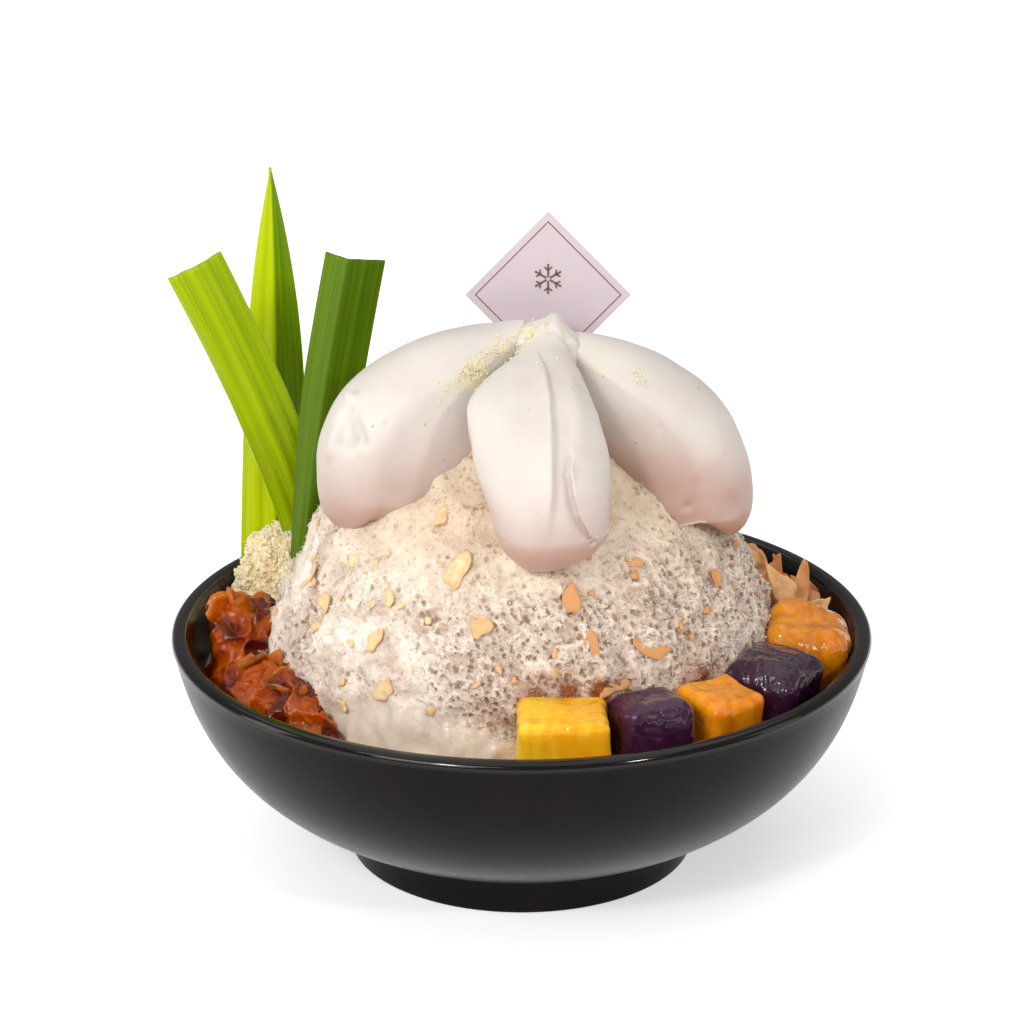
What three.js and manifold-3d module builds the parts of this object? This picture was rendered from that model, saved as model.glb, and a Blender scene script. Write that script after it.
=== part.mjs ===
// A dark bowl of milk shave ice: a dome of frothy milk ice in a pool of milk, three spooned
// petals of whipped cream on top, toasted almond flakes, cubes of boiled sweet potato and
// taro, brown sugar jelly, milk crumble with three pandan leaves and a sign on a wooden pick.
// Millimetres, +Z up, origin in the middle of the foot's underside. The front is towards -Y.
// Azimuths are in degrees from the front, positive towards +X.

import * as THREE from 'three';
import { mergeVertices } from 'three/addons/utils/BufferGeometryUtils.js';
import Module from 'manifold-3d';

const wasm = await Module();
wasm.setup();

// ---- Driving dimensions ------------------------------------------------------------------

const GAP = 0.3;                 // air between neighbouring pieces

const bowl = {
  rimRadius: 95, height: 65, wall: 4.8, lipRound: 1.6,
  footRadius: 47.5, footHeight: 9.5, footRecess: 2, recessRadius: 40, floorHeight: 12,
  bellyHandles: [[79.7, 22.5], [90.7, 39.2]],
  sides: 48, wallSteps: 7,
};
const milkLevel = 51;
const ceiling = 200;             // above everything that stands in the bowl

const dome = {
  radius: 69, waist: 60, top: 132, bottom: 45, offset: [-1, 0],
  roundness: 1.75, fullness: 0.75,
  sides: 60, rings: 14, relief: 1.5, reliefGrain: 14,
};

const cream = {
  origin: [7, -3], rings: 15, sides: 20, seat: 1.6, lateralDrop: 0.011,
  heart: [8, 92], rooted: 0.8,   // the undersides taper towards this point inside the dome
};

const card = { side: 31.2, thickness: 0.8, centre: [7, 11, 153.6], lean: 12 };
const pick = { radius: 1.1, length: 46, sides: 10 };

// ---- Small helpers -----------------------------------------------------------------------

const radians = THREE.MathUtils.degToRad;
const clamp = THREE.MathUtils.clamp;
const smoothstep = THREE.MathUtils.smoothstep;

function seeded(seed) {
  let state = seed;
  return () => {
    state = (state * 1664525 + 1013904223) % 4294967296;
    return state / 4294967296;
  };
}

// Smooth lumps between -1 and 1: three crossing waves whose phases bend one another.
function lumps(x, y, z, size) {
  const k = 2 * Math.PI / size;
  const a = Math.sin(k * (x + 0.31 * z) + 1.7 * Math.sin(0.43 * k * y));
  const b = Math.sin(k * (y + 0.27 * x) + 1.9 * Math.sin(0.39 * k * z));
  const c = Math.sin(k * (z - 0.29 * y) + 1.8 * Math.sin(0.41 * k * x));
  return (a + b + c) / 3;
}

// Moves each vertex of a geometry to where the function puts it.
function mapVertices(geometry, move) {
  const position = geometry.attributes.position;
  const point = new THREE.Vector3();
  for (let i = 0; i < position.count; i += 1) {
    point.fromBufferAttribute(position, i);
    const moved = move(point);
    position.setXYZ(i, moved.x, moved.y, moved.z);
  }
  return geometry;
}

// A closed geometry as a solid with its faces pointing out.
function solid(geometry) {
  geometry.deleteAttribute('normal');
  geometry.deleteAttribute('uv');
  const merged = mergeVertices(geometry, 1e-3);
  const triVerts = Uint32Array.from(merged.index.array);
  const vertProperties = Float32Array.from(merged.attributes.position.array);
  const corner = (i) => new THREE.Vector3().fromArray(vertProperties, 3 * triVerts[i]);
  let volume = 0;
  for (let i = 0; i < triVerts.length; i += 3) {
    volume += corner(i).dot(corner(i + 1).cross(corner(i + 2)));
  }
  const keep = [];
  for (let i = 0; i < triVerts.length; i += 3) {
    const [a, b, c] = triVerts.slice(i, i + 3);
    if (a === b || b === c || c === a) continue;
    keep.push(...(volume > 0 ? [a, b, c] : [a, c, b]));
  }
  const mesh = new wasm.Mesh({ numProp: 3, vertProperties, triVerts: Uint32Array.from(keep) });
  return new wasm.Manifold(mesh);
}

// The largest piece of a solid, without scraps that a cut has left.
function largest(body) {
  const parts = body.decompose();
  return parts.reduce((best, part) => (part.volume() > best.volume() ? part : best));
}

const group = new THREE.Group();

function addNode(name, body, colour, roughness) {
  const mesh = largest(body.simplify(0.05)).getMesh();
  const geometry = new THREE.BufferGeometry();
  geometry.setAttribute('position', new THREE.BufferAttribute(mesh.vertProperties, 3));
  geometry.setIndex(new THREE.BufferAttribute(mesh.triVerts, 1));
  geometry.computeVertexNormals();
  const material = new THREE.MeshStandardMaterial({ color: colour, roughness, metalness: 0 });
  const node = new THREE.Mesh(geometry, material);
  node.name = name;
  group.add(node);
}

// A profile of [radius, height] pairs turned round the vertical axis.
function turned(profile, sides) {
  const points = profile.map(([r, z]) => new THREE.Vector2(r, z));
  return new THREE.LatheGeometry(points, sides).rotateX(Math.PI / 2);
}

// ---- The bowl ----------------------------------------------------------------------------

const belly = new THREE.CubicBezierCurve(
  new THREE.Vector2(bowl.footRadius, bowl.footHeight),
  new THREE.Vector2(...bowl.bellyHandles[0]),
  new THREE.Vector2(...bowl.bellyHandles[1]),
  new THREE.Vector2(bowl.rimRadius, bowl.height),
);

// A point of the wall, a given depth inside the outer face.
function wallPoint(t, depth) {
  const point = belly.getPoint(t);
  const along = belly.getTangent(t);
  return [point.x - depth * along.y, point.y + depth * along.x];
}

function quarterRound(cx, cz, radius, from, to, steps) {
  return Array.from({ length: steps + 1 }, (_, i) => {
    const angle = radians(from + (to - from) * i / steps);
    return [cx + radius * Math.cos(angle), cz + radius * Math.sin(angle)];
  });
}

function innerProfile(depth, floorHeight) {
  const wall = [];
  for (let i = 0; i < bowl.wallSteps; i += 1) wall.push(wallPoint(i / bowl.wallSteps, depth));
  return [[0, floorHeight], ...wall.map(([r, z]) => [r, Math.max(z, floorHeight)])];
}

function bowlProfile() {
  const { rimRadius, height, wall, lipRound, footRadius, footRecess, recessRadius } = bowl;
  const outer = [];
  for (let i = 0; i < bowl.wallSteps; i += 1) outer.push(wallPoint(i / bowl.wallSteps, 0));
  const lipHeight = height - lipRound;
  return [
    [0, footRecess], [recessRadius - 1, footRecess], [recessRadius, 0], [footRadius, 0],
    ...outer,
    ...quarterRound(rimRadius - lipRound, lipHeight, lipRound, 0, 90, 3),
    ...quarterRound(rimRadius - wall + lipRound, lipHeight, lipRound, 90, 180, 3),
    ...innerProfile(wall, bowl.floorHeight).slice(1).reverse(),
    [0, bowl.floorHeight],
  ];
}

// The room inside the bowl and above it, as wide as the rim, with air left along the wall.
function bowlRoom() {
  const lining = innerProfile(bowl.wall + GAP, bowl.floorHeight + GAP);
  const mouth = bowl.rimRadius - bowl.wall - GAP;
  const above = bowl.height + GAP;
  return solid(turned([
    ...lining, [mouth, bowl.height - bowl.lipRound], [mouth, above], [bowl.rimRadius, above],
    [bowl.rimRadius, ceiling], [0, ceiling],
  ], bowl.sides));
}

// Milk fills the bowl up to its level.
function milkSolid() {
  const lining = innerProfile(bowl.wall + GAP, bowl.floorHeight + GAP);
  const wetted = lining.filter(([, z]) => z < milkLevel);
  const [low, high] = [lining[wetted.length - 1], lining[wetted.length]];
  const share = (milkLevel - low[1]) / (high[1] - low[1]);
  const edge = low[0] + share * (high[0] - low[0]);
  return solid(turned([...wetted, [edge, milkLevel], [0, milkLevel]], bowl.sides));
}

// ---- The dome of ice ---------------------------------------------------------------------

function domeRadius(z) {
  const climb = clamp((z - dome.waist) / (dome.top - dome.waist), 0, 1);
  return dome.radius * (1 - climb ** dome.roundness) ** dome.fullness;
}

// The dome's profile, with closer rings towards the flatter top.
function domeProfile(grow) {
  const profile = [
    [0, dome.bottom - grow], [dome.radius + grow, dome.bottom - grow],
    [dome.radius + grow, milkLevel + 1],
  ];
  for (let i = 0; i < dome.rings; i += 1) {
    const climb = Math.sin(Math.PI / 2 * i / dome.rings);
    const z = dome.waist + (dome.top - dome.waist) * climb;
    profile.push([domeRadius(z) + grow, z + grow * climb]);
  }
  profile.push([0, dome.top + grow]);
  return profile;
}

function smoothDome(grow) {
  return solid(turned(domeProfile(grow), dome.sides).translate(...dome.offset, 0));
}

// Relief of the frothy ice. The milk-soaked foot at the front left is nearly smooth.
function roughDome() {
  const geometry = turned(domeProfile(0), dome.sides);
  mapVertices(geometry, (p) => {
    const r = Math.hypot(p.x, p.y);
    if (r < 1 || p.z < milkLevel + 2) return p;
    const soaked = 1 - smoothstep(p.z, 60, 72);
    const azimuth = Math.atan2(p.x, -p.y);
    const soakedSide = soaked > 0 && azimuth < 0.1 && azimuth > -1 ? 0.3 : 1;
    const relief = dome.relief * soakedSide * lumps(p.x, p.y, p.z, dome.reliefGrain);
    const slump = 0.9 * lumps(p.x, p.y, p.z, 31);
    const scale = 1 + (relief + slump) / r;
    return new THREE.Vector3(p.x * scale, p.y * scale, p.z + 0.4 * relief);
  });
  return solid(geometry.translate(...dome.offset, 0));
}

// A heap of milk crumble that leans on the wall at the back left and holds the leaves.
const crumble = { centre: [-61, 36, 60], radii: [21, 20, 20], sides: 14, rings: 9, unevenness: 0.09 };

function crumbleSolid() {
  const { centre, radii, sides, rings, unevenness } = crumble;
  const geometry = new THREE.SphereGeometry(1, sides, rings).rotateX(Math.PI / 2);
  mapVertices(geometry, (p) => {
    const bump = 1 + unevenness * lumps(p.x, p.y, p.z, 0.55);
    return new THREE.Vector3(
      centre[0] + radii[0] * bump * p.x,
      centre[1] + radii[1] * bump * p.y,
      Math.max(centre[2] + radii[2] * bump * p.z, milkLevel + GAP),
    );
  });
  return solid(geometry);
}

// ---- Almond flakes on the ice ------------------------------------------------------------

const domeFlakes = [
  // azimuth, height, width, length, turn
  [-65, 87, 6, 3.5, 80], [-36, 89, 5.5, 7, 10], [-17, 98, 5, 9, -15], [-9, 87, 4, 8, 0],
  [-35, 80, 5, 4, 70], [-54, 84, 3, 6, 5], [-54, 78, 3, 3, 0], [-30, 69, 5, 5.5, 30],
  [-51, 95, 4, 4, 40], [-44, 95, 4, 4.5, -30], [-28, 108, 3.5, 6, 0], [14, 92, 4, 9, -10],
  [17, 81, 4.5, 9.5, 5], [32, 79, 9, 6.5, -25], [22, 72, 8, 4, 30], [35, 98, 4, 4, 20],
  [61, 88, 4, 4.5, 0], [52, 83, 3, 3, 0],
];
const backFlakes = { count: 9, from: 105, to: 280, lowest: 68, highest: 110, seed: 11 };
const flakeThickness = 1.3;

// A thin oval slice with a slight curl, standing on +Z at the origin.
function flakeGeometry(width, length, corners, curl) {
  const geometry = new THREE.CylinderGeometry(1, 1, flakeThickness, corners).rotateX(Math.PI / 2);
  return mapVertices(geometry, (p) => new THREE.Vector3(
    p.x * width / 2, p.y * length / 2, p.z + curl * (p.x * p.x - p.y * p.y),
  ));
}

// Lays a geometry on the dome at an azimuth and height, turned on the spot.
function placeOnDome(geometry, azimuth, height, turn, lift) {
  const angle = radians(azimuth);
  const step = 1;
  const slope = Math.atan2(step, domeRadius(height - step / 2) - domeRadius(height + step / 2));
  const outward = new THREE.Vector3(Math.sin(angle), -Math.cos(angle), 0);
  const normal = outward.clone().multiplyScalar(Math.sin(slope));
  normal.z = Math.cos(slope);
  const sideways = new THREE.Vector3(Math.cos(angle), Math.sin(angle), 0);
  const uphill = new THREE.Vector3().crossVectors(normal, sideways);
  const basis = new THREE.Matrix4().makeBasis(sideways, uphill, normal);
  const place = outward.multiplyScalar(domeRadius(height));
  place.set(place.x + dome.offset[0], place.y + dome.offset[1], height);
  place.addScaledVector(normal, lift);
  return geometry.rotateZ(radians(turn)).applyMatrix4(basis.setPosition(place));
}

function iceFlakes() {
  const random = seeded(backFlakes.seed);
  const flakes = [...domeFlakes];
  for (let i = 0; i < backFlakes.count; i += 1) {
    const share = (i + random()) / backFlakes.count;
    const azimuth = backFlakes.from + (backFlakes.to - backFlakes.from) * share;
    const height = backFlakes.lowest + (backFlakes.highest - backFlakes.lowest) * random();
    flakes.push([azimuth, height, 3.5 + 3 * random(), 5 + 4 * random(), 180 * random()]);
  }
  return flakes.map(([azimuth, height, width, length, turn], i) => {
    const flake = flakeGeometry(width, length, 6, 0.5);
    const tilt = radians(10 * Math.sin(7 * i));
    return solid(placeOnDome(flake.rotateX(tilt), azimuth, height, turn, 0.9));
  });
}

// ---- Whipped cream -----------------------------------------------------------------------

// Each petal starts at the peak and is drawn outwards and down. Its outer face runs along a
// rounded arc from the peak to the shoulder, at full reach, and under to its tip.
const petals = {
  middle: {
    azimuth: -3, reach: 62, crown: 149, shoulder: 111, tipDrop: 13, tuck: 0.34, end: 163, squareness: 2.3,
    halfWidth: 18.2, thickness: 10, slim: 0.7, peak: 7, ridge: 2.6, ridgeSide: 0.13, flap: 1.8,
  },
  left: {
    azimuth: -76, reach: 62.5, crown: 151, shoulder: 111, tipDrop: 15, tuck: 0.16, end: 163, squareness: 2.4,
    halfWidth: 17.5, thickness: 10.5, slim: 1, peak: 0, ridge: 0, ridgeSide: 0, flap: 0,
  },
  right: {
    azimuth: 84, reach: 54.5, crown: 147, shoulder: 102, tipDrop: 9, tuck: 0.16, end: 163, squareness: 2.2,
    halfWidth: 17.5, thickness: 10, slim: 1, peak: 0, ridge: 0, ridgeSide: 0, flap: 0,
  },
};

function petalOutline(petal, s) {
  const turn = radians(4 + (petal.end - 4) * s);
  const power = 2 / petal.squareness;
  const out = Math.sin(turn) ** power;
  const rise = Math.abs(Math.cos(turn)) ** power;
  const height = Math.cos(turn) > 0
    ? petal.shoulder + (petal.crown - petal.shoulder) * rise
    : petal.shoulder - petal.tipDrop * Math.abs(Math.cos(turn));
  const reach = Math.cos(turn) > 0 ? out : 1 - petal.tuck * (1 - Math.sin(turn));
  const rho = petal.reach * reach;
  return new THREE.Vector2(rho, height + petal.peak * Math.exp(-((rho / 7) ** 2)));
}

// Section size along a petal, from 0 at its ends to 1: full at the tip, slimmer at the peak.
function petalFullness(petal, s) {
  const egg = (1 - Math.abs(2 * s - 1) ** 2.6) ** (1 / 2.6);
  return egg * (petal.slim + (1 - petal.slim) * smoothstep(s, -0.02, 0.34));
}

// Extra height of the outer face: a crest drawn by the spoon's edge and a folded flap.
function petalCrest(petal, across, s) {
  const along = smoothstep(s, 0.05, 0.2) * (1 - smoothstep(s, 0.6, 0.8));
  const side = across - petal.ridgeSide;
  const crest = side < 0 ? Math.exp(side * 5) : Math.exp(-((side / 0.09) ** 2));
  const second = 0.5 * Math.exp(-(((across - 0.62) / 0.2) ** 2));
  const flap = Math.exp(-(((across - 0.75) / 0.25) ** 2) - (((s - 0.72) / 0.12) ** 2));
  return petal.ridge * along * (crest + second - 0.5) + petal.flap * flap;
}

function petalSolid(petal, grow = 0) {
  const angle = radians(petal.azimuth);
  const forward = new THREE.Vector3(Math.sin(angle), -Math.cos(angle), 0);
  const sideways = new THREE.Vector3(Math.cos(angle), Math.sin(angle), 0);
  const geometry = new THREE.SphereGeometry(1, cream.sides, cream.rings);
  mapVertices(geometry, (p) => {
    const s = Math.acos(clamp(p.y, -1, 1)) / Math.PI;
    const around = Math.atan2(p.z, p.x);
    const outer = petalOutline(petal, s);
    const tangent = petalOutline(petal, Math.min(s + 0.01, 1))
      .sub(petalOutline(petal, Math.max(s - 0.01, 0))).normalize();
    const normal = new THREE.Vector2(-tangent.y, tangent.x);
    const size = petalFullness(petal, s);
    const atEnd = size < 1e-6;
    const half = atEnd ? 0 : petal.halfWidth * size + grow;
    const deep = petal.thickness * size;
    const across = half * Math.cos(around);
    const section = outer.clone().addScaledVector(normal, -deep);
    if (Math.sin(around) > 0) {
      const crest = petalCrest(petal, Math.cos(around), s) * size;
      section.addScaledVector(normal, (deep + crest + (atEnd ? 0 : grow)) * Math.sin(around));
    } else {
      const heart = new THREE.Vector2(...cream.heart);
      section.lerp(heart, -cream.rooted * Math.sqrt(size) * Math.sin(around));
    }
    section.x -= cream.lateralDrop * across * across * Math.min(1, 2 * s);
    return new THREE.Vector3(cream.origin[0], cream.origin[1], section.y)
      .addScaledVector(forward, section.x).addScaledVector(sideways, across);
  });
  return solid(geometry);
}

// ---- Pandan leaves -----------------------------------------------------------------------

// A leaf is a thin wavy sheet along a bent line, folded a little along its middle. Both of its
// faces are the same grid of triangles.
const leafThickness = 1.0;
const leaves = {
  pointed: {
    line: [[-71, 44, 58], [-67.5, 43, 120], [-68.5, 40, 181]], steps: 14, columns: 3,
    width: 19, base: 0.95, pointed: true, fold: 0.32, foldAt: 0, facing: [0.25, -1, 0], wave: 0.5,
  },
  leaning: {
    line: [[-57, 33, 66], [-64, 32, 103], [-86.2, 6, 162.5]], steps: 11, columns: 3,
    width: 15.6, base: 0.9, pointed: false, fold: 0.1, foldAt: 0.1, facing: [0.1, -1, 0.1],
    wave: 0.9,
  },
  folded: {
    line: [[-61, 22, 62], [-56, 21.5, 105], [-44.8, 20, 160.5]], steps: 9, columns: 3,
    width: 16, base: 0.55, pointed: false, fold: 0.5, foldAt: -0.25, facing: [0, -1, 0.05],
    wave: 0.4,
  },
};

function leafSolid(leaf, grow = 0) {
  const line = new THREE.QuadraticBezierCurve3(...leaf.line.map((p) => new THREE.Vector3(...p)));
  const facing = new THREE.Vector3(...leaf.facing).normalize();
  const columns = 2 * leaf.columns;
  const { steps } = leaf;
  const vertices = [];
  for (const face of [1, -1]) {
    for (let j = 0; j <= steps; j += 1) {
      const t = j / steps;
      const centre = line.getPoint(t);
      const along = line.getTangent(t);
      const across = new THREE.Vector3().crossVectors(along, facing).normalize();
      const out = new THREE.Vector3().crossVectors(across, along).normalize();
      const taper = leaf.pointed
        ? Math.max((1 - t ** 3), 0.04) * (leaf.base + (1 - leaf.base) * Math.sin(Math.PI * t))
        : leaf.base + (1 - leaf.base) * smoothstep(t, 0, 0.7);
      const half = leaf.width / 2 * taper + grow;
      for (let i = 0; i <= columns; i += 1) {
        const u = 2 * i / columns - 1;
        const bend = -leaf.fold * half * Math.abs(u - leaf.foldAt);
        const wave = leaf.wave * Math.sin(3 * Math.PI * t + 2 * u) * Math.abs(u);
        const depth = bend + wave + face * (leafThickness / 2 + grow);
        const point = centre.clone().addScaledVector(across, half * u).addScaledVector(out, depth);
        vertices.push(point.x, point.y, point.z);
      }
    }
  }
  const row = columns + 1;
  const back = row * (steps + 1);
  const index = [];
  const quad = (a, b, c, d) => index.push(a, b, c, a, c, d);
  for (let j = 0; j < steps; j += 1) {
    for (let i = 0; i < columns; i += 1) {
      const a = j * row + i;
      index.push(a, a + 1, a + row + 1, a, a + row + 1, a + row);
      index.push(back + a, back + a + row + 1, back + a + 1, back + a, back + a + row,
        back + a + row + 1);
    }
    const left = j * row;
    const right = left + columns;
    quad(left + row, back + left + row, back + left, left);
    quad(right, back + right, back + right + row, right + row);
  }
  for (let i = 0; i < columns; i += 1) {
    const top = steps * row + i;
    quad(i, back + i, back + i + 1, i + 1);
    quad(top + 1, back + top + 1, back + top, top);
  }
  const geometry = new THREE.BufferGeometry();
  geometry.setAttribute('position', new THREE.Float32BufferAttribute(vertices, 3));
  geometry.setIndex(index);
  return solid(geometry);
}

// ---- Sweet potato and taro ---------------------------------------------------------------

// Boiled cubes with worn edges and slightly swollen faces. They lean on the wall, sunk a
// little in the milk.
const cubes = {
  sweet_potato_front: { centre: [10.4, -73, 59], size: [23, 18, 23], turn: 3, lean: 4, seed: 3 },
  taro_front: { centre: [32.5, -67, 59], size: [18.8, 18, 23.5], turn: 19, lean: -3, seed: 5 },
  sweet_potato_middle: { centre: [50.5, -56, 57.5], size: [17.5, 16.5, 22], turn: 38, lean: 5, seed: 9 },
  taro_right: { centre: [65, -39, 58.5], size: [23, 22, 24], turn: 56, lean: 3, seed: 14 },
  sweet_potato_right: { centre: [76, -14.5, 59.5], size: [25, 23, 26], turn: 78, lean: -4, seed: 21 },
};
const cubeSegments = 4;
const cubeEdge = 0.24;           // share of the half side that is rounded off

function cubeSolid(cube, grow = 0) {
  const geometry = new THREE.BoxGeometry(2, 2, 2, cubeSegments, cubeSegments, cubeSegments);
  mapVertices(geometry, (p) => {
    const core = p.clone().clampScalar(-1 + cubeEdge, 1 - cubeEdge);
    const rim = p.clone().sub(core);
    if (rim.lengthSq() > 0) rim.setLength(cubeEdge);
    const point = core.add(rim);
    const bump = 1 + 0.045 * lumps(point.x + cube.seed, point.y, point.z - cube.seed, 1.9);
    return point.multiplyScalar(bump).multiply(new THREE.Vector3(...cube.size)
      .multiplyScalar(0.5).addScalar(grow));
  });
  geometry.rotateX(radians(cube.lean)).rotateZ(radians(cube.turn));
  return solid(geometry.translate(...cube.centre));
}

// ---- Brown sugar jelly -------------------------------------------------------------------

// Two heaps of broken jelly between the ice and the wall: a core with shards fused on it.
const jellySplit = -78;          // azimuth of the gap between the heaps
const jellyHeaps = {
  jelly_back: { from: -98, to: jellySplit, radius: 76, top: 70, spread: 10, cores: 2, count: 9, seed: 4 },
  jelly_front: { from: jellySplit, to: -40, radius: 74, top: 66, spread: 11, cores: 3, count: 15, seed: 8 },
};
const shardSize = [4.5, 8.5];

function jellySolid(heap) {
  const random = seeded(heap.seed);
  const place = (azimuth, radius, z) => new THREE.Vector3(
    radius * Math.sin(radians(azimuth)), -radius * Math.cos(radians(azimuth)), z);
  const base = milkLevel - 4;
  const pieces = [];
  for (let i = 0; i < heap.cores; i += 1) {
    const azimuth = heap.from + (heap.to - heap.from) * (i + 0.5) / heap.cores;
    const core = new THREE.IcosahedronGeometry(1, 1);
    const reach = heap.radius * radians(heap.to - heap.from) / heap.cores;
    core.scale(reach * 0.8, heap.spread, heap.top - base - 2).rotateZ(radians(azimuth));
    pieces.push(solid(core.translate(...place(azimuth, heap.radius, base).toArray())));
  }
  for (let i = 0; i < heap.count; i += 1) {
    const share = (i + random()) / heap.count;
    const azimuth = heap.from + (heap.to - heap.from) * share;
    const side = 2 * random() - 1;
    const rise = Math.sqrt(1 - 0.7 * side * side);
    const shard = new THREE.IcosahedronGeometry(1, 0);
    const length = shardSize[0] + (shardSize[1] - shardSize[0]) * random();
    shard.scale(length, length * (0.55 + 0.3 * random()), length * (0.28 + 0.2 * random()));
    shard.rotateX(Math.PI * random()).rotateY(Math.PI * random()).rotateZ(Math.PI * random());
    const spot = place(azimuth, heap.radius + heap.spread * side, base + (heap.top - base) * rise);
    pieces.push(solid(shard.translate(...spot.toArray())));
  }
  return wasm.Manifold.union(pieces);
}

// The room on the back side, -1, or the front side, 1, of the gap between the jelly heaps.
function besideJellySplit(side) {
  const size = 200;
  const block = new THREE.BoxGeometry(size, size, size);
  block.translate(side * (size + GAP) / 2, 0, milkLevel + GAP + size / 2);
  return solid(block.rotateZ(radians(jellySplit)));
}

// ---- Toasted flakes at the back right ----------------------------------------------------

const flakeHeap = { centre: [71, 22, 55], radii: [15, 17, 19], count: 11, seed: 17 };

function flakeHeapSolid() {
  const random = seeded(flakeHeap.seed);
  const { centre, radii } = flakeHeap;
  const core = new THREE.IcosahedronGeometry(1, 1);
  core.scale(radii[0] - 3, radii[1] - 3, radii[2] - 3).translate(...centre);
  const pieces = [solid(core)];
  for (let i = 0; i < flakeHeap.count; i += 1) {
    const azimuth = 2 * Math.PI * (i + random()) / flakeHeap.count;
    const rise = 0.25 + 0.6 * random();
    const level = Math.sqrt(1 - rise * rise);
    const flake = flakeGeometry(7 + 4 * random(), 12 + 7 * random(), 6, 1.2);
    flake.rotateX(Math.PI / 2 - 0.9 + 0.8 * random()).rotateZ(azimuth);
    flake.translate(
      centre[0] + radii[0] * level * Math.cos(azimuth) * 0.85,
      centre[1] + radii[1] * level * Math.sin(azimuth) * 0.85,
      centre[2] + radii[2] * rise,
    );
    pieces.push(solid(flake));
  }
  return wasm.Manifold.union(pieces);
}

// ---- The sign ----------------------------------------------------------------------------

function cardSolid(grow = 0) {
  const side = card.side + 2 * grow;
  const plate = new THREE.BoxGeometry(side, card.thickness + 2 * grow, side);
  plate.rotateY(Math.PI / 4).rotateX(-radians(card.lean)).translate(...card.centre);
  return solid(plate);
}

// The pick stands behind the card and is pushed into the ice.
function pickSolid(grow = 0) {
  const radius = pick.radius + grow;
  const stick = new THREE.CylinderGeometry(radius, radius * 0.7, pick.length + 2 * grow, pick.sides);
  stick.rotateX(Math.PI / 2);
  stick.translate(0, pick.radius + card.thickness / 2 + GAP, 4 - pick.length / 2);
  return solid(stick.rotateX(-radians(card.lean)).translate(...card.centre));
}

// ---- Putting it together -----------------------------------------------------------------

const wide = 200;                // blocks that cut away everything on one side
const room = bowlRoom();
const aboveMilk = solid(new THREE.BoxGeometry(wide, wide, wide)
  .translate(0, 0, milkLevel + GAP + wide / 2));
const iceSeat = smoothDome(dome.relief + 1 + GAP);
const creamSeat = smoothDome(cream.seat);
const middle = petalSolid(petals.middle);
const leftHalf = solid(new THREE.BoxGeometry(wide, wide, wide)
  .translate(cream.origin[0] - (GAP + wide) / 2, 0, dome.top));
const rightHalf = solid(new THREE.BoxGeometry(wide, wide, wide)
  .translate(cream.origin[0] + (GAP + wide) / 2, 0, dome.top));
const middleRoom = petalSolid(petals.middle, GAP);

const cubeBodies = Object.entries(cubes).map(([name, cube]) => [name, cubeSolid(cube)]);
const cubeRooms = wasm.Manifold.union(Object.values(cubes).map((cube) => cubeSolid(cube, GAP)));
const leafRooms = wasm.Manifold.union(Object.values(leaves).map((leaf) => leafSolid(leaf, GAP)));
const signRooms = wasm.Manifold.union([cardSolid(GAP), pickSolid(GAP)]);

const flakeBodies = iceFlakes();
const ice = wasm.Manifold.union([roughDome(), ...flakeBodies])
  .subtract(cubeRooms).subtract(leafRooms).subtract(signRooms).intersect(room);

const jellyBodies = Object.entries(jellyHeaps).map(([name, heap]) => [
  name, jellySolid(heap).intersect(besideJellySplit(heap.from < jellySplit ? -1 : 1)),
]);

addNode('bowl', solid(turned(bowlProfile(), bowl.sides)), '#3a3635', 0.5);
addNode('milk', milkSolid().subtract(smoothDome(GAP)).subtract(cubeRooms), '#e7d9c8', 0.3);
addNode('shaved_ice', ice, '#e9d9c8', 0.9);
addNode('crumble_heap', crumbleSolid().subtract(iceSeat).subtract(leafRooms)
  .intersect(room), '#eed9b6', 0.9);
addNode('cream_middle', middle.subtract(creamSeat).subtract(signRooms), '#f6f1ea', 0.45);
addNode('cream_left', petalSolid(petals.left).intersect(leftHalf)
  .subtract(creamSeat).subtract(middleRoom).subtract(signRooms), '#f4eee7', 0.45);
addNode('cream_right', petalSolid(petals.right).intersect(rightHalf)
  .subtract(creamSeat).subtract(middleRoom).subtract(signRooms), '#f4eee7', 0.45);
for (const [name, body] of cubeBodies) {
  addNode(name, body.intersect(room), name.startsWith('taro') ? '#46243d' : '#f0a018', 0.3);
}
addNode('pandan_pointed', leafSolid(leaves.pointed).intersect(room), '#7fa00c', 0.4);
addNode('pandan_leaning', leafSolid(leaves.leaning).intersect(room), '#95b40c', 0.4);
addNode('pandan_folded', leafSolid(leaves.folded).intersect(room), '#4d6c04', 0.4);
for (const [name, body] of jellyBodies) {
  addNode(name, body.subtract(iceSeat).intersect(room), '#8c3f12', 0.15);
}
addNode('toasted_flakes', flakeHeapSolid().subtract(iceSeat).subtract(cubeRooms)
  .intersect(room).intersect(aboveMilk), '#d9985a', 0.6);
addNode('sign_card', cardSolid(), '#dfd0d3', 0.6);
addNode('sign_pick', pickSolid(), '#d8b98c', 0.7);

export default group;
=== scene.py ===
# %% [markdown]
# # A bowl of shave ice
#
# This lesson dresses a bowl of milk shave ice: frothy ice in a pool of milk, three spooned
# petals of whipped cream, almond flakes, boiled sweet potato and taro, brown sugar jelly,
# milk crumble, pandan leaves and a small sign. The construction comes first, as a fixed
# frame, and every new piece then takes the place of one of its solids.

# %% The frame
import itertools
import math
import bmesh
import bpy
import numpy as np
from mathutils import Euler, Matrix, Vector


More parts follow.
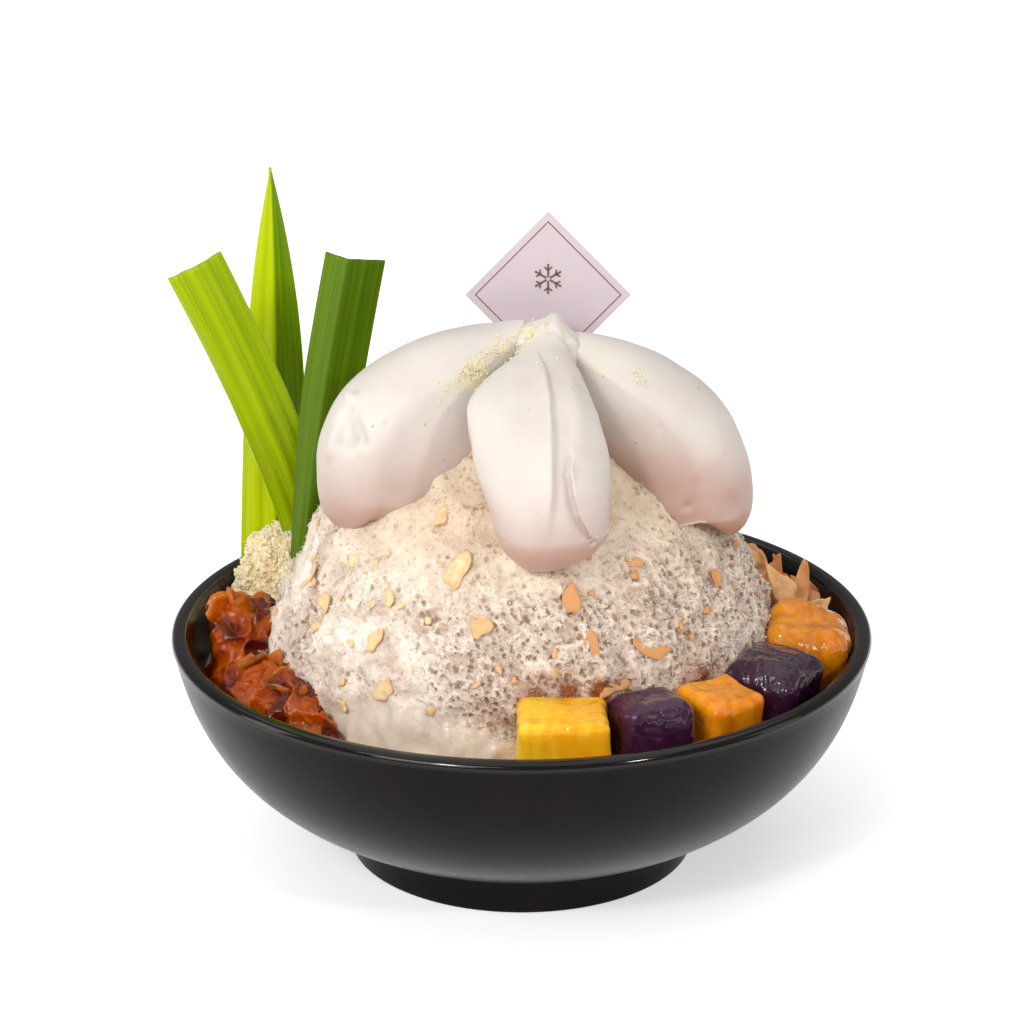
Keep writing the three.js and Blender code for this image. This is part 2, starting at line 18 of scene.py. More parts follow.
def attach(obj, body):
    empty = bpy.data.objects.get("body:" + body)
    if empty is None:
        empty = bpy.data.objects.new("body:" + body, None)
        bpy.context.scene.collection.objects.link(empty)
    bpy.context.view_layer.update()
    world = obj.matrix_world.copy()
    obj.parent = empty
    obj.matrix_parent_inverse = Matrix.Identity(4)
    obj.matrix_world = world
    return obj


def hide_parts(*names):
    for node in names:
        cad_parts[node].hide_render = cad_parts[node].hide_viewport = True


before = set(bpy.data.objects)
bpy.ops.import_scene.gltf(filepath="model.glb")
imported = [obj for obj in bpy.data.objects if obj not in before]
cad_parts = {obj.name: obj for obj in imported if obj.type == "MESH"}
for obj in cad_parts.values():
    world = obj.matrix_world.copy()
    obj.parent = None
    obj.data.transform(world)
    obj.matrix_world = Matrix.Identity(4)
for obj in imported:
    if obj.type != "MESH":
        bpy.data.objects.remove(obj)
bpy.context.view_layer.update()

MM = 0.001
print("nodes:", ", ".join(sorted(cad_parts)))

# %% [markdown]
# ## The camera
#
# The camera stands where the photographer stood, in front of the bowl and looking down at it
# by 20 degrees. It comes first, because everything that follows is judged through it. A long
# lens keeps the bowl's rim from swelling at the front.

# %% The camera
CAMERA_AT = (0, -0.7798, 0.3791)
LOOKS_DOWN = math.radians(19.948)
LOOKS_LEFT = math.radians(0.189)
LENS = 108.4             # mm, on a sensor 36 mm wide

bpy.ops.object.select_all(action="DESELECT")
bpy.ops.object.camera_add(
    location=CAMERA_AT, rotation=(math.pi / 2 - LOOKS_DOWN, 0, LOOKS_LEFT)
)
camera = bpy.context.object
camera.data.lens = LENS
camera.data.clip_start = 0.05
camera.data.clip_end = 20
bpy.context.scene.camera = camera
print("camera at", CAMERA_AT)

# %% [markdown]
# ## Tools for shapes
#
# Most pieces start as a primitive, which is then shaped in edit mode or by moving its points
# with a rule. The points are handled all at once as a table of millimetres, one row for each
# point, because that is quick and the rules stay short.


# %% Tools for shapes
def start(primitive, **settings):
    """Adds one primitive, with everything else deselected, and returns it."""
    bpy.ops.object.select_all(action="DESELECT")
    primitive(**settings)
    return bpy.context.object


def points_of(piece):
    """The piece's points in millimetres, one row each."""
    flat = np.empty(3 * len(piece.data.vertices))
    piece.data.vertices.foreach_get("co", flat)
    return flat.reshape(-1, 3) / MM


def put_points(piece, points):
    """Moves the piece's points to these places in millimetres."""
    piece.data.vertices.foreach_set("co", (points * MM).ravel())
    piece.data.update()


def normals_of(piece):
    """The direction that the surface faces at each point."""
    flat = np.empty(3 * len(piece.data.vertices), np.float32)
    piece.data.vertex_normals.foreach_get("vector", flat)
    return flat.reshape(-1, 3).astype(float)


def triangles_of(piece):
    """The piece's faces as triangles, one row of three point numbers each."""
    piece.data.calc_loop_triangles()
    flat = np.empty(3 * len(piece.data.loop_triangles), np.int32)
    piece.data.loop_triangles.foreach_get("vertices", flat)
    return flat.reshape(-1, 3)


def from_points(name, points, faces):
    """A new piece from a table of points in millimetres and a list of faces."""
    mesh = bpy.data.meshes.new(name)
    faces = faces if isinstance(faces, list) else faces.tolist()
    mesh.from_pydata((points * MM).tolist(), [], faces)
    piece = bpy.data.objects.new(name, mesh)
    bpy.context.collection.objects.link(piece)
    return piece


def only(piece):
    """Selects this piece and nothing else."""
    bpy.ops.object.select_all(action="DESELECT")
    piece.select_set(True)
    bpy.context.view_layer.objects.active = piece


def edit(piece, *steps):
    """Runs edit-mode steps on all of a piece's faces."""
    only(piece)
    bpy.ops.object.mode_set(mode="EDIT")
    bpy.ops.mesh.select_all(action="SELECT")
    for step, settings in steps:
        step(**settings)
    bpy.ops.object.mode_set(mode="OBJECT")


def outwards(piece):
    """Turns all faces of a closed piece outwards."""
    edit(piece, (bpy.ops.mesh.normals_make_consistent, {"inside": False}))


def squares(cuts):
    """A cube cut into small even squares, and its points between -1 and 1."""
    piece = start(bpy.ops.mesh.primitive_cube_add, size=2)
    edit(piece, (bpy.ops.mesh.subdivide, {"number_cuts": cuts, "smoothness": 0}))
    return piece, points_of(piece) * MM


def ball_of_squares(cuts):
    """The same cube with the directions of its points, evened out for a ball."""
    piece, corners = squares(cuts)
    corners = np.tan(corners * np.pi / 4)
    return piece, corners / np.linalg.norm(corners, axis=1, keepdims=True)


def apply(piece, kind, **settings):
    """Adds a modifier and applies it at once."""
    only(piece)
    modifier = piece.modifiers.new(kind.title(), kind)
    for key, value in settings.items():
        setattr(modifier, key, value)
    bpy.ops.object.modifier_apply(modifier=modifier.name)


def mark(piece, name, *channels):
    """Stores up to four numbers between 0 and 1 at each point, for the materials to read."""
    layer = piece.data.attributes.new(name, "FLOAT_COLOR", "POINT")
    values = np.ones((len(piece.data.vertices), 4))
    for i, channel in enumerate(channels):
        values[:, i] = np.clip(channel, 0, 1)
    layer.data.foreach_set("color", values.ravel())


def place_piece(piece, name, nodes, materials, smooth=True):
    """Names a finished piece, gives it its finish and lets it stand for its solids."""
    only(piece)
    bpy.ops.object.transform_apply(location=True, rotation=True, scale=True)
    if smooth:
        bpy.ops.object.shade_smooth()
    piece.name = name
    piece.data.name = name
    for material in materials:
        piece.data.materials.append(material)
    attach(piece, "root")
    if nodes:
        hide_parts(*nodes)
    low, high = points_of(piece).min(axis=0), points_of(piece).max(axis=0)
    print(f"{name}: {len(triangles_of(piece))} triangles, {low.round(1)} to {high.round(1)} mm")
    return piece


# %% [markdown]
# ## Tools for natural unevenness
#
# Food is never even. Two kinds of random pattern shape nearly everything here: soft clouds,
# for lumps and slumps, and bubbles, for froth and pores. Both are worked out from the place
# of a point, so the same place always gives the same value.


# %% Tools for natural unevenness
def ease(low, high, value):
    """0 below low, 1 above high, and a smooth climb between them."""
    share = np.clip((value - low) / (high - low), 0, 1)
    return share * share * (3 - 2 * share)


def chance(cells, seed):
    """A fixed random number between 0 and 1 for each cell of a grid."""
    x, y, z = np.moveaxis(cells.astype(np.int64), -1, 0)
    mixed = x * 73856093 ^ y * 19349663 ^ z * 83492791 ^ seed * 40503001
    mixed = (mixed ^ (mixed >> 13)) * 1274126177 & 0xFFFFFFFF
    mixed = (mixed ^ (mixed >> 15)) * 668265261 & 0xFFFFFFFF
    return ((mixed ^ (mixed >> 16)) & 0xFFFFFF) / 0xFFFFFF


def clouds(points, size, seed=0):
    """Smooth lumps of one size in millimetres, between -1 and 1."""
    cell = np.floor(points / size)
    part = points / size - cell
    part = part * part * (3 - 2 * part)
    total = 0
    for corner in itertools.product((0, 1), repeat=3):
        weight = np.prod(np.where(corner, part, 1 - part), axis=1)
        total = total + weight * chance(cell + corner, seed)
    return 2 * total - 1


def bends(points, size, seeds):
    """A soft push in three directions at each point."""
    return np.column_stack([clouds(points, size, seed) for seed in seeds])


def bubbles(points, size, seed=0):
    """How far each point is from the nearest and the next bubble centre, in bubble sizes."""
    cell = np.floor(points / size)
    first = np.full(len(points), 9.0)
    second = first.copy()
    for corner in itertools.product((-1, 0, 1), repeat=3):
        there = cell + corner
        centre = there + np.stack([chance(there, seed + k) for k in (1, 2, 3)], axis=1)
        gap = np.linalg.norm(points / size - centre, axis=1)
        second = np.minimum(second, np.maximum(first, gap))
        first = np.minimum(first, gap)
    return first, second


def creases(points, size, seed):
    """1 on thin winding crests and 0 between them."""
    return 1 - np.minimum(1, 2.4 * np.abs(clouds(points, size, seed)))


def waves(points, size):
    """Slow lumps between -1 and 1, the same rule that shapes the solid ice."""
    x, y, z = points.T
    k = 2 * np.pi / size
    a = np.sin(k * (x + 0.31 * z) + 1.7 * np.sin(0.43 * k * y))
    b = np.sin(k * (y + 0.27 * x) + 1.9 * np.sin(0.39 * k * z))
    c = np.sin(k * (z - 0.29 * y) + 1.8 * np.sin(0.41 * k * x))
    return (a + b + c) / 3


def any_turns(count, draw):
    """Random turns, one 3 by 3 table each."""
    w, x, y, z = (q := draw.normal(size=(count, 4))).T / np.linalg.norm(q, axis=1)
    return np.array([
        [1 - 2 * (y * y + z * z), 2 * (x * y - w * z), 2 * (x * z + w * y)],
        [2 * (x * y + w * z), 1 - 2 * (x * x + z * z), 2 * (y * z - w * x)],
        [2 * (x * z - w * y), 2 * (y * z + w * x), 1 - 2 * (x * x + y * y)],
    ]).transpose(2, 0, 1)


def scatter(shape, faces, places, turns, sizes):
    """Copies of one small shape, each with its own place, turn and three sizes."""
    copies = np.einsum("nij,pj->npi", turns * sizes[:, None, :], shape) + places[:, None, :]
    steps = len(shape) * np.arange(len(places))
    return copies.reshape(-1, 3), (faces[None] + steps[:, None, None]).reshape(-1, faces.shape[1])


# %% [markdown]
# ## Tools for materials
#
# A material is a small tree of nodes. One function adds a node, sets it up and wires it, and
# another turns the colours, which are written as on a paint card, into the linear values that
# the renderer works with. Pattern sizes are given in millimetres of the real thing.


# %% Tools for materials
def paint(code):
    """A colour from its sRGB hex code, as linear red, green, blue and alpha."""
    parts = [int(code[i:i + 2], 16) / 255 for i in (1, 3, 5)]
    return [c / 12.92 if c <= 0.04045 else ((c + 0.055) / 1.055) ** 2.4 for c in parts] + [1]


def per(size):
    """The scale that makes a pattern repeat about every so many millimetres."""
    return 1 / (size * MM)


def finish(name, **sockets):
    """A new material. Plain settings go straight to its shader's own sockets."""
    material = bpy.data.materials.new(name)
    material.use_nodes = True
    shader = material.node_tree.nodes["Principled BSDF"]
    for key, value in sockets.items():
        shader.inputs[key.replace("_", " ")].default_value = value
    return material, material.node_tree, shader.inputs


def add(tree, kind, links, **settings):
    """Adds a node. links gives each input socket a value or the output that feeds it."""
    node = tree.nodes.new("ShaderNode" + kind)
    for key, value in settings.items():
        setattr(node, key, value)
    for key, value in links.items():
        if isinstance(value, bpy.types.NodeSocket):
            tree.links.new(value, node.inputs[key])
        else:
            node.inputs[key].default_value = value
    return node.outputs


def wire(tree, output, socket):
    """Joins an output to one of the shader's own sockets."""
    tree.links.new(output, socket)


MIX = {"data_type": "RGBA"}
SHARE, ONE, TWO, MIXED = 0, 6, 7, 2   # the colour sockets of a Mix node
LOW, HIGH, TO_LOW, TO_HIGH = 1, 2, 3, 4    # a Map Range node's range and what it becomes

# %% [markdown]
# ## The bowl
#
# The real bowl is compression-moulded melamine with a satin charcoal face. A wheel-thrown
# form like this is one outline turned round an axis, so the outline is drawn once as a line
# and spun. The belly is a single smooth curve from the foot to the rim, and the lip and the
# foot ring get small rounds, because moulded plastic has no sharp edges.

# %% The bowl's outline
RIM, HEIGHT, WALL, LIP = 95.0, 65.0, 4.8, 1.9
FOOT, FOOT_HEIGHT, FOOT_RECESS, RECESS = 47.5, 9.5, 2.0, 40.0
FLOOR = 12.0
BELLY = np.array([[FOOT, FOOT_HEIGHT], [79.7, 22.5], [90.7, 39.2], [RIM, HEIGHT]])
MILK = 51.0


def belly(t, depth):
    """Points of the wall at shares t of its height, a given depth inside the outer face."""
    t = np.asarray(t)[:, None]
    a, b, c, d = BELLY
    spot = (1 - t) ** 3 * a + 3 * t * (1 - t) ** 2 * b + 3 * t * t * (1 - t) * c + t ** 3 * d
    along = (1 - t) ** 2 * (b - a) + 2 * t * (1 - t) * (c - b) + t * t * (d - c)
    along /= np.linalg.norm(along, axis=1, keepdims=True)
    return spot + depth * np.column_stack([-along[:, 1], along[:, 0]])


def arc(x, z, radius, begin, end, steps=8):
    """Points of a round edge, from one angle to another, in degrees."""
    turn = np.radians(np.linspace(begin, end, steps))
    return np.column_stack([x + radius * np.cos(turn), z + radius * np.sin(turn)])


EDGE = 0.8               # round on the foot ring
rise = np.linspace(0, 1, 44)
outer = belly(rise[:-2], 0)
inner = belly(rise[:-2], WALL)
inner = inner[inner[:, 1] > FLOOR + 2.5]
bowl_line = np.vstack([
    [[0, FOOT_RECESS], [20, FOOT_RECESS], [RECESS - 2.5, FOOT_RECESS]],
    arc(RECESS - 2.0, FOOT_RECESS - 0.6, 0.6, 90, 10, 4),
    arc(RECESS + EDGE, EDGE, EDGE, 200, 270, 5),
    arc(FOOT - EDGE, EDGE, EDGE, 270, 360, 6),
    [[FOOT, FOOT_HEIGHT * 0.4], [FOOT, FOOT_HEIGHT - 0.9], [FOOT + 0.25, FOOT_HEIGHT - 0.2]],
    outer[1:],
    arc(RIM - LIP, HEIGHT - LIP, LIP, 0, 90),
    arc(RIM - WALL + LIP, HEIGHT - LIP, LIP, 90, 180),
    inner[::-1],
    [[inner[0, 0] - 3.2, FLOOR + 1.1], [inner[0, 0] - 8, FLOOR + 0.3], [inner[0, 0] - 14, FLOOR]],
    [[20, FLOOR], [0, FLOOR]],
])
print("bowl outline:", len(bowl_line), "points")


# %% Turning an outline
ROUND_STEPS = 168


def turned(name, line):
    """Spins an outline of radius and height into a closed round piece."""
    points = np.column_stack([line[:, 0], np.zeros(len(line)), line[:, 1]])
    piece = from_points(name, points, [])
    graph = bmesh.new()
    graph.from_mesh(piece.data)
    graph.verts.ensure_lookup_table()
    for i in range(len(line) - 1):
        graph.edges.new((graph.verts[i], graph.verts[i + 1]))
    graph.to_mesh(piece.data)
    graph.free()
    round_once = {"steps": ROUND_STEPS, "angle": 2 * math.pi, "center": (0, 0, 0), "axis": (0, 0, 1)}
    edit(
        piece,
        (bpy.ops.mesh.spin, round_once),
        (bpy.ops.mesh.select_all, {"action": "SELECT"}),
        (bpy.ops.mesh.remove_doubles, {"threshold": 2e-6}),
        (bpy.ops.mesh.normals_make_consistent, {"inside": False}),
    )
    return piece


bowl = turned("bowl_shell", bowl_line)
print("bowl:", len(bowl.data.vertices), "points")

# %% [markdown]
# Melamine is a hard, dense plastic. Its face is satin, with a soft broad sheen, and a faint
# orange-peel from the mould breaks the reflections. Fine rub marks make the gloss uneven, and
# the lip, which hands and cloths polish, is the shiniest part.

# %% Charcoal melamine
melamine, tree, sockets = finish("moulded charcoal melamine", IOR=1.28)
spot = add(tree, "TexCoord", {})["Object"]
peel = add(tree, "TexNoise", {"Vector": spot, "Scale": per(1.6), "Detail": 2})["Fac"]
rub = add(tree, "TexNoise", {"Vector": spot, "Scale": per(24), "Detail": 6, "Roughness": 0.62})["Fac"]
shade = add(tree, "MapRange", {"Value": rub, LOW: 0.35, HIGH: 0.68})[0]
colour = add(tree, "Mix", {SHARE: shade, ONE: paint("#0d0908"), TWO: paint("#130d0c")}, **MIX)[MIXED]
wire(tree, colour, sockets["Base Color"])
height = add(tree, "SeparateXYZ", {"Vector": spot})["Z"]
worn = add(tree, "MapRange", {"Value": height, LOW: (HEIGHT - 3) * MM, HIGH: (HEIGHT - 1.5) * MM})[0]
matt = add(tree, "MapRange", {"Value": rub, LOW: 0.3, HIGH: 0.7, TO_LOW: 0.22, TO_HIGH: 0.32})[0]
rough = add(tree, "MapRange", {"Value": worn, TO_LOW: matt, TO_HIGH: 0.1})[0]
wire(tree, rough, sockets["Roughness"])
shine = add(tree, "MapRange", {"Value": worn, TO_LOW: 0.26, TO_HIGH: 1.0})[0]
wire(tree, shine, sockets["Specular IOR Level"])
bump = add(tree, "Bump", {"Height": peel, "Strength": 0.25, "Distance": 0.03 * MM})["Normal"]
wire(tree, bump, sockets["Normal"])
place_piece(bowl, "bowl_shell", ["bowl"], [melamine])

# %% [markdown]
# ## The milk
#
# Sweetened milk fills the bowl up to the ice's foot. It is spun like the bowl, from a line
# that follows the inner wall and climbs a little where the milk wets it. Slow dents keep its
# face from being a mirror.

# %% The milk
MENISCUS, CLEARANCE = 0.8, 0.1       # climb at the wall, and gap under the milk
wet = belly(np.linspace(0, 1, 80), WALL - 0.05)
wet = wet[(wet[:, 1] > FLOOR + CLEARANCE) & (wet[:, 1] < MILK + MENISCUS)]
shore = wet[-1, 0]
back_in = np.linspace(0, 1, 46)[1:]
milk_line = np.vstack([
    [[0, FLOOR + CLEARANCE]],
    wet,
    np.column_stack([shore * (1 - back_in), MILK + MENISCUS * np.exp(-back_in * shore / 1.4)]),
])
milk = turned("milk_pool", milk_line)
points = points_of(milk)
from_axis = np.hypot(points[:, 0], points[:, 1])
open_milk = ease(MILK - 1, MILK, points[:, 2]) * ease(shore, shore - 4, from_axis)
points[:, 2] += open_milk * (0.35 * clouds(points, 14, 3) + 0.18 * clouds(points, 5, 4) - 0.3)
put_points(milk, points)

milk_finish, tree, sockets = finish(
    "sweetened whole milk", IOR=1.35, Subsurface_Weight=0.6, Subsurface_Scale=4 * MM,
    Subsurface_Radius=(1.0, 0.75, 0.5), Roughness=0.12,
)
spot = add(tree, "TexCoord", {})["Object"]
swirl = add(tree, "TexNoise", {"Vector": spot, "Scale": per(16), "Detail": 4, "Distortion": 1.2})["Fac"]
blend = add(tree, "MapRange", {"Value": swirl, LOW: 0.38, HIGH: 0.66})[0]
colour = add(tree, "Mix", {SHARE: blend, ONE: paint("#e6d8c8"), TWO: paint("#d9c6b1")}, **MIX)[MIXED]
wire(tree, colour, sockets["Base Color"])
bump = add(tree, "Bump", {"Height": swirl, "Strength": 0.4, "Distance": 0.5 * MM})["Normal"]
wire(tree, bump, sockets["Normal"])
place_piece(milk, "milk_pool", ["milk"], [milk_finish])

# %% [markdown]
# ## The dome of ice
#
# Milk ice is shaved into a froth: strands and lumps with bubbles between them a millimetre or
# two across. A cube cut into small even squares and pushed out onto the dome gives points of
# the same spacing everywhere, with no pole at the top. Those points are then moved by rules:
# slow slumps, lumps, and open bubbles that leave walls between them. At the front left the
# milk has soaked the foot smooth.

# %% The dome's form
DOME_AT = np.array([-1.0, 0.0, 0.0])
DOME_RADIUS, WAIST, TOP, BOTTOM = 69.0, 60.0, 132.0, 45.0
ROUNDNESS, FULLNESS = 1.75, 0.75


def dome_radius(z):
    """Radius of the plain dome at a height."""
    climb = np.clip((z - WAIST) / (TOP - WAIST), 0, 1)
    return DOME_RADIUS * (1 - climb ** ROUNDNESS) ** FULLNESS


climb = np.sin(np.linspace(np.pi / 2, 0, 500))
dome_line = np.vstack([
    np.column_stack([dome_radius(WAIST + (TOP - WAIST) * climb), WAIST + (TOP - WAIST) * climb]),
    [[DOME_RADIUS, BOTTOM + 1.5], [DOME_RADIUS - 1.5, BOTTOM], [0, BOTTOM]],
])
dome_length = np.concatenate([[0], np.cumsum(np.linalg.norm(np.diff(dome_line, axis=0), axis=1))])
BOTTOM_TURN = math.radians(130)     # where on the ball the flat bottom begins
print("dome outline:", round(dome_length[-1]), "mm from the top to the middle of the bottom")


def onto_dome(directions):
    """Puts points of a ball on the dome, with their spacing kept as even as it can be."""
    turn = np.arccos(np.clip(directions[:, 2], -1, 1))
    whole, side = dome_length[-1], dome_length[-2]
    along = np.interp(turn, [0, BOTTOM_TURN, np.pi], [0, side, whole])
    radius = np.interp(along, dome_length, dome_line[:, 0])
    height = np.interp(along, dome_length, dome_line[:, 1])
    level = np.hypot(directions[:, 0], directions[:, 1]) + 1e-9
    spread = radius / level
    return DOME_AT + np.column_stack([directions[:, 0] * spread, directions[:, 1] * spread, height])


def dome_frame(azimuth, height):
    """A place on the dome and the three directions there: sideways, uphill and outwards."""
    angle = math.radians(azimuth)
    fall = dome_radius(height - 0.5) - dome_radius(height + 0.5)
    slope = math.atan2(1, fall)
    out = np.array([math.sin(angle), -math.cos(angle), 0])
    normal = out * math.sin(slope) + np.array([0, 0, math.cos(slope)])
    sideways = np.array([math.cos(angle), math.sin(angle), 0])
    place = DOME_AT + out * dome_radius(height) + np.array([0, 0, height])
    return place, np.column_stack([sideways, np.cross(normal, sideways), normal])


# %% Where the ice is open, soaked or stained
def azimuth_of(points):
    """Where each point lies round the dome: degrees from the front, to the right."""
    return np.degrees(np.arctan2(points[:, 0] - DOME_AT[0], -points[:, 1]))


def sector(azimuth, middle, wide):
    """1 in the middle of a sector of the bowl, and fading out on both sides of it."""
    gap = (azimuth - middle + 180) % 360 - 180
    return np.exp(-(gap / wide) ** 2)


# Open froth is also painted with a deeper shade, so the right and the low froth look darker.
def openness(points):
    """How open the froth is: snowy and closed at the left, open at the right and low down."""
    azimuth, height = azimuth_of(points), points[:, 2]
    right = ease(-50, 15, azimuth) * ease(175, 120, azimuth)
    low = ease(112, 78, height)
    return np.clip(0.1 + 0.6 * right * low + 0.2 * low + 0.42 * clouds(points, 15, 42), 0, 1)


def soaked(points):
    """1 where milk has soaked the ice smooth: along the milk, and high up at the front left."""
    reach = 54 + 12.5 * sector(azimuth_of(points), -26, 26)
    reach += 2.5 * clouds(points * np.array([1, 1, 0.3]), 6, 51) + 1.6 * clouds(points, 2.4, 52)
    return ease(reach + 5, reach - 5, points[:, 2])


def stained(points):
    """1 where brown syrup has run into the froth, in a few patches above the cubes."""
    azimuth, height = azimuth_of(points), points[:, 2]
    patches = (
        # azimuth, height, width, tallness, strength
        (8, 71, 13, 4.5, 1.0), (20, 68, 8, 5, 0.9), (45, 67, 7, 4, 0.9), (-30, 69, 2.5, 2, 0.3),
        (-30, 75.5, 2, 1.6, 0.2), (-3, 64, 6, 4, 0.5), (62, 64, 8, 3, 0.4),
    )
    stain = sum(
        much * np.exp(-((azimuth - a) / wide) ** 2 - ((height - z) / tall) ** 2)
        for a, z, wide, tall, much in patches
    )
    return np.clip(stain * (0.9 + 0.9 * clouds(points, 4, 61)), 0, 1)


# %% The dome's froth
DOME_CUTS = 119
LUMP, SLUMP = 14, 31
SCOOP_DEPTH, SCOOP_HEIGHT = 3.6, 80     # a hollow at the left, beside the jelly


def froth(points, open_here, soak):
    """How far the froth's face lies below its highest strands, and how deep in a bubble."""
    warped = points + 0.9 * bends(points, 3.4, (11, 12, 13))
    near, far = bubbles(warped, 2.2, 21)
    walls = ease(0.0, 0.42, far - near)
    near, far = bubbles(warped + 40, 4.4, 31)
    holes = ease(0.1, 0.5, far - near) * ease(0.2, 0.6, open_here)
    holes *= ease(0.05, 0.5, clouds(points, 11, 32))
    soft = 0.5 * clouds(points, 4.2, 41) + 0.28 * clouds(points, 1.9, 43)
    openings = ease(0.05, 0.75, open_here)
    drop = (1 - 0.9 * soak) * ((0.15 + 0.75 * openings) * walls + 1.1 * holes - soft)
    return drop, np.clip(0.75 * walls * openings + 0.8 * holes, 0, 1) * (1 - soak)


dome, directions = ball_of_squares(DOME_CUTS)
put_points(dome, onto_dome(directions))
smooth_dome = points_of(dome)
way_out = normals_of(dome)
above = ease(MILK - 2, MILK + 1, smooth_dome[:, 2])[:, None]
soak = soaked(smooth_dome)
open_ice = openness(smooth_dome)
centred = smooth_dome - DOME_AT
slump = 1.5 * waves(centred, LUMP) * (1 - 0.7 * soak) + 0.9 * waves(centred, SLUMP)
low_or_high = (smooth_dome[:, 2] - SCOOP_HEIGHT) / 15
scooped = SCOOP_DEPTH * sector(azimuth_of(smooth_dome), -88, 24) * np.exp(-low_or_high ** 2)
drop, in_bubble = froth(smooth_dome, open_ice, soak)
running = smooth_dome * np.array([1, 1, 0.4])
drips = 1.6 * clouds(running, 6, 71) + 0.8 * clouds(running, 2.4, 72) + 1.6 * creases(running, 5, 73)
drips = soak * (drips - 0.9)
lift = slump - scooped - drop + drips + 0.3 - 0.3 * soak
put_points(dome, smooth_dome + above * way_out * lift[:, None])
# marks: depth in bubbles (painted shade), syrup stain, milk soak, and openness (also painted shade)
mark(dome, "froth", in_bubble, stained(smooth_dome), soak, open_ice)
print("dome points:", len(smooth_dome))

# %% [markdown]
# Frozen milk froth is nearly white, a little warm, and lets light in, so its shadows glow.
# The finest bubbles, one to two millimetres across, are drawn by the material as dents and
# as specks of painted shade. The marks stored with the points say where bubbles, syrup and milk
# are, and the froth is painted deeper inside the bubbles and where it is open.


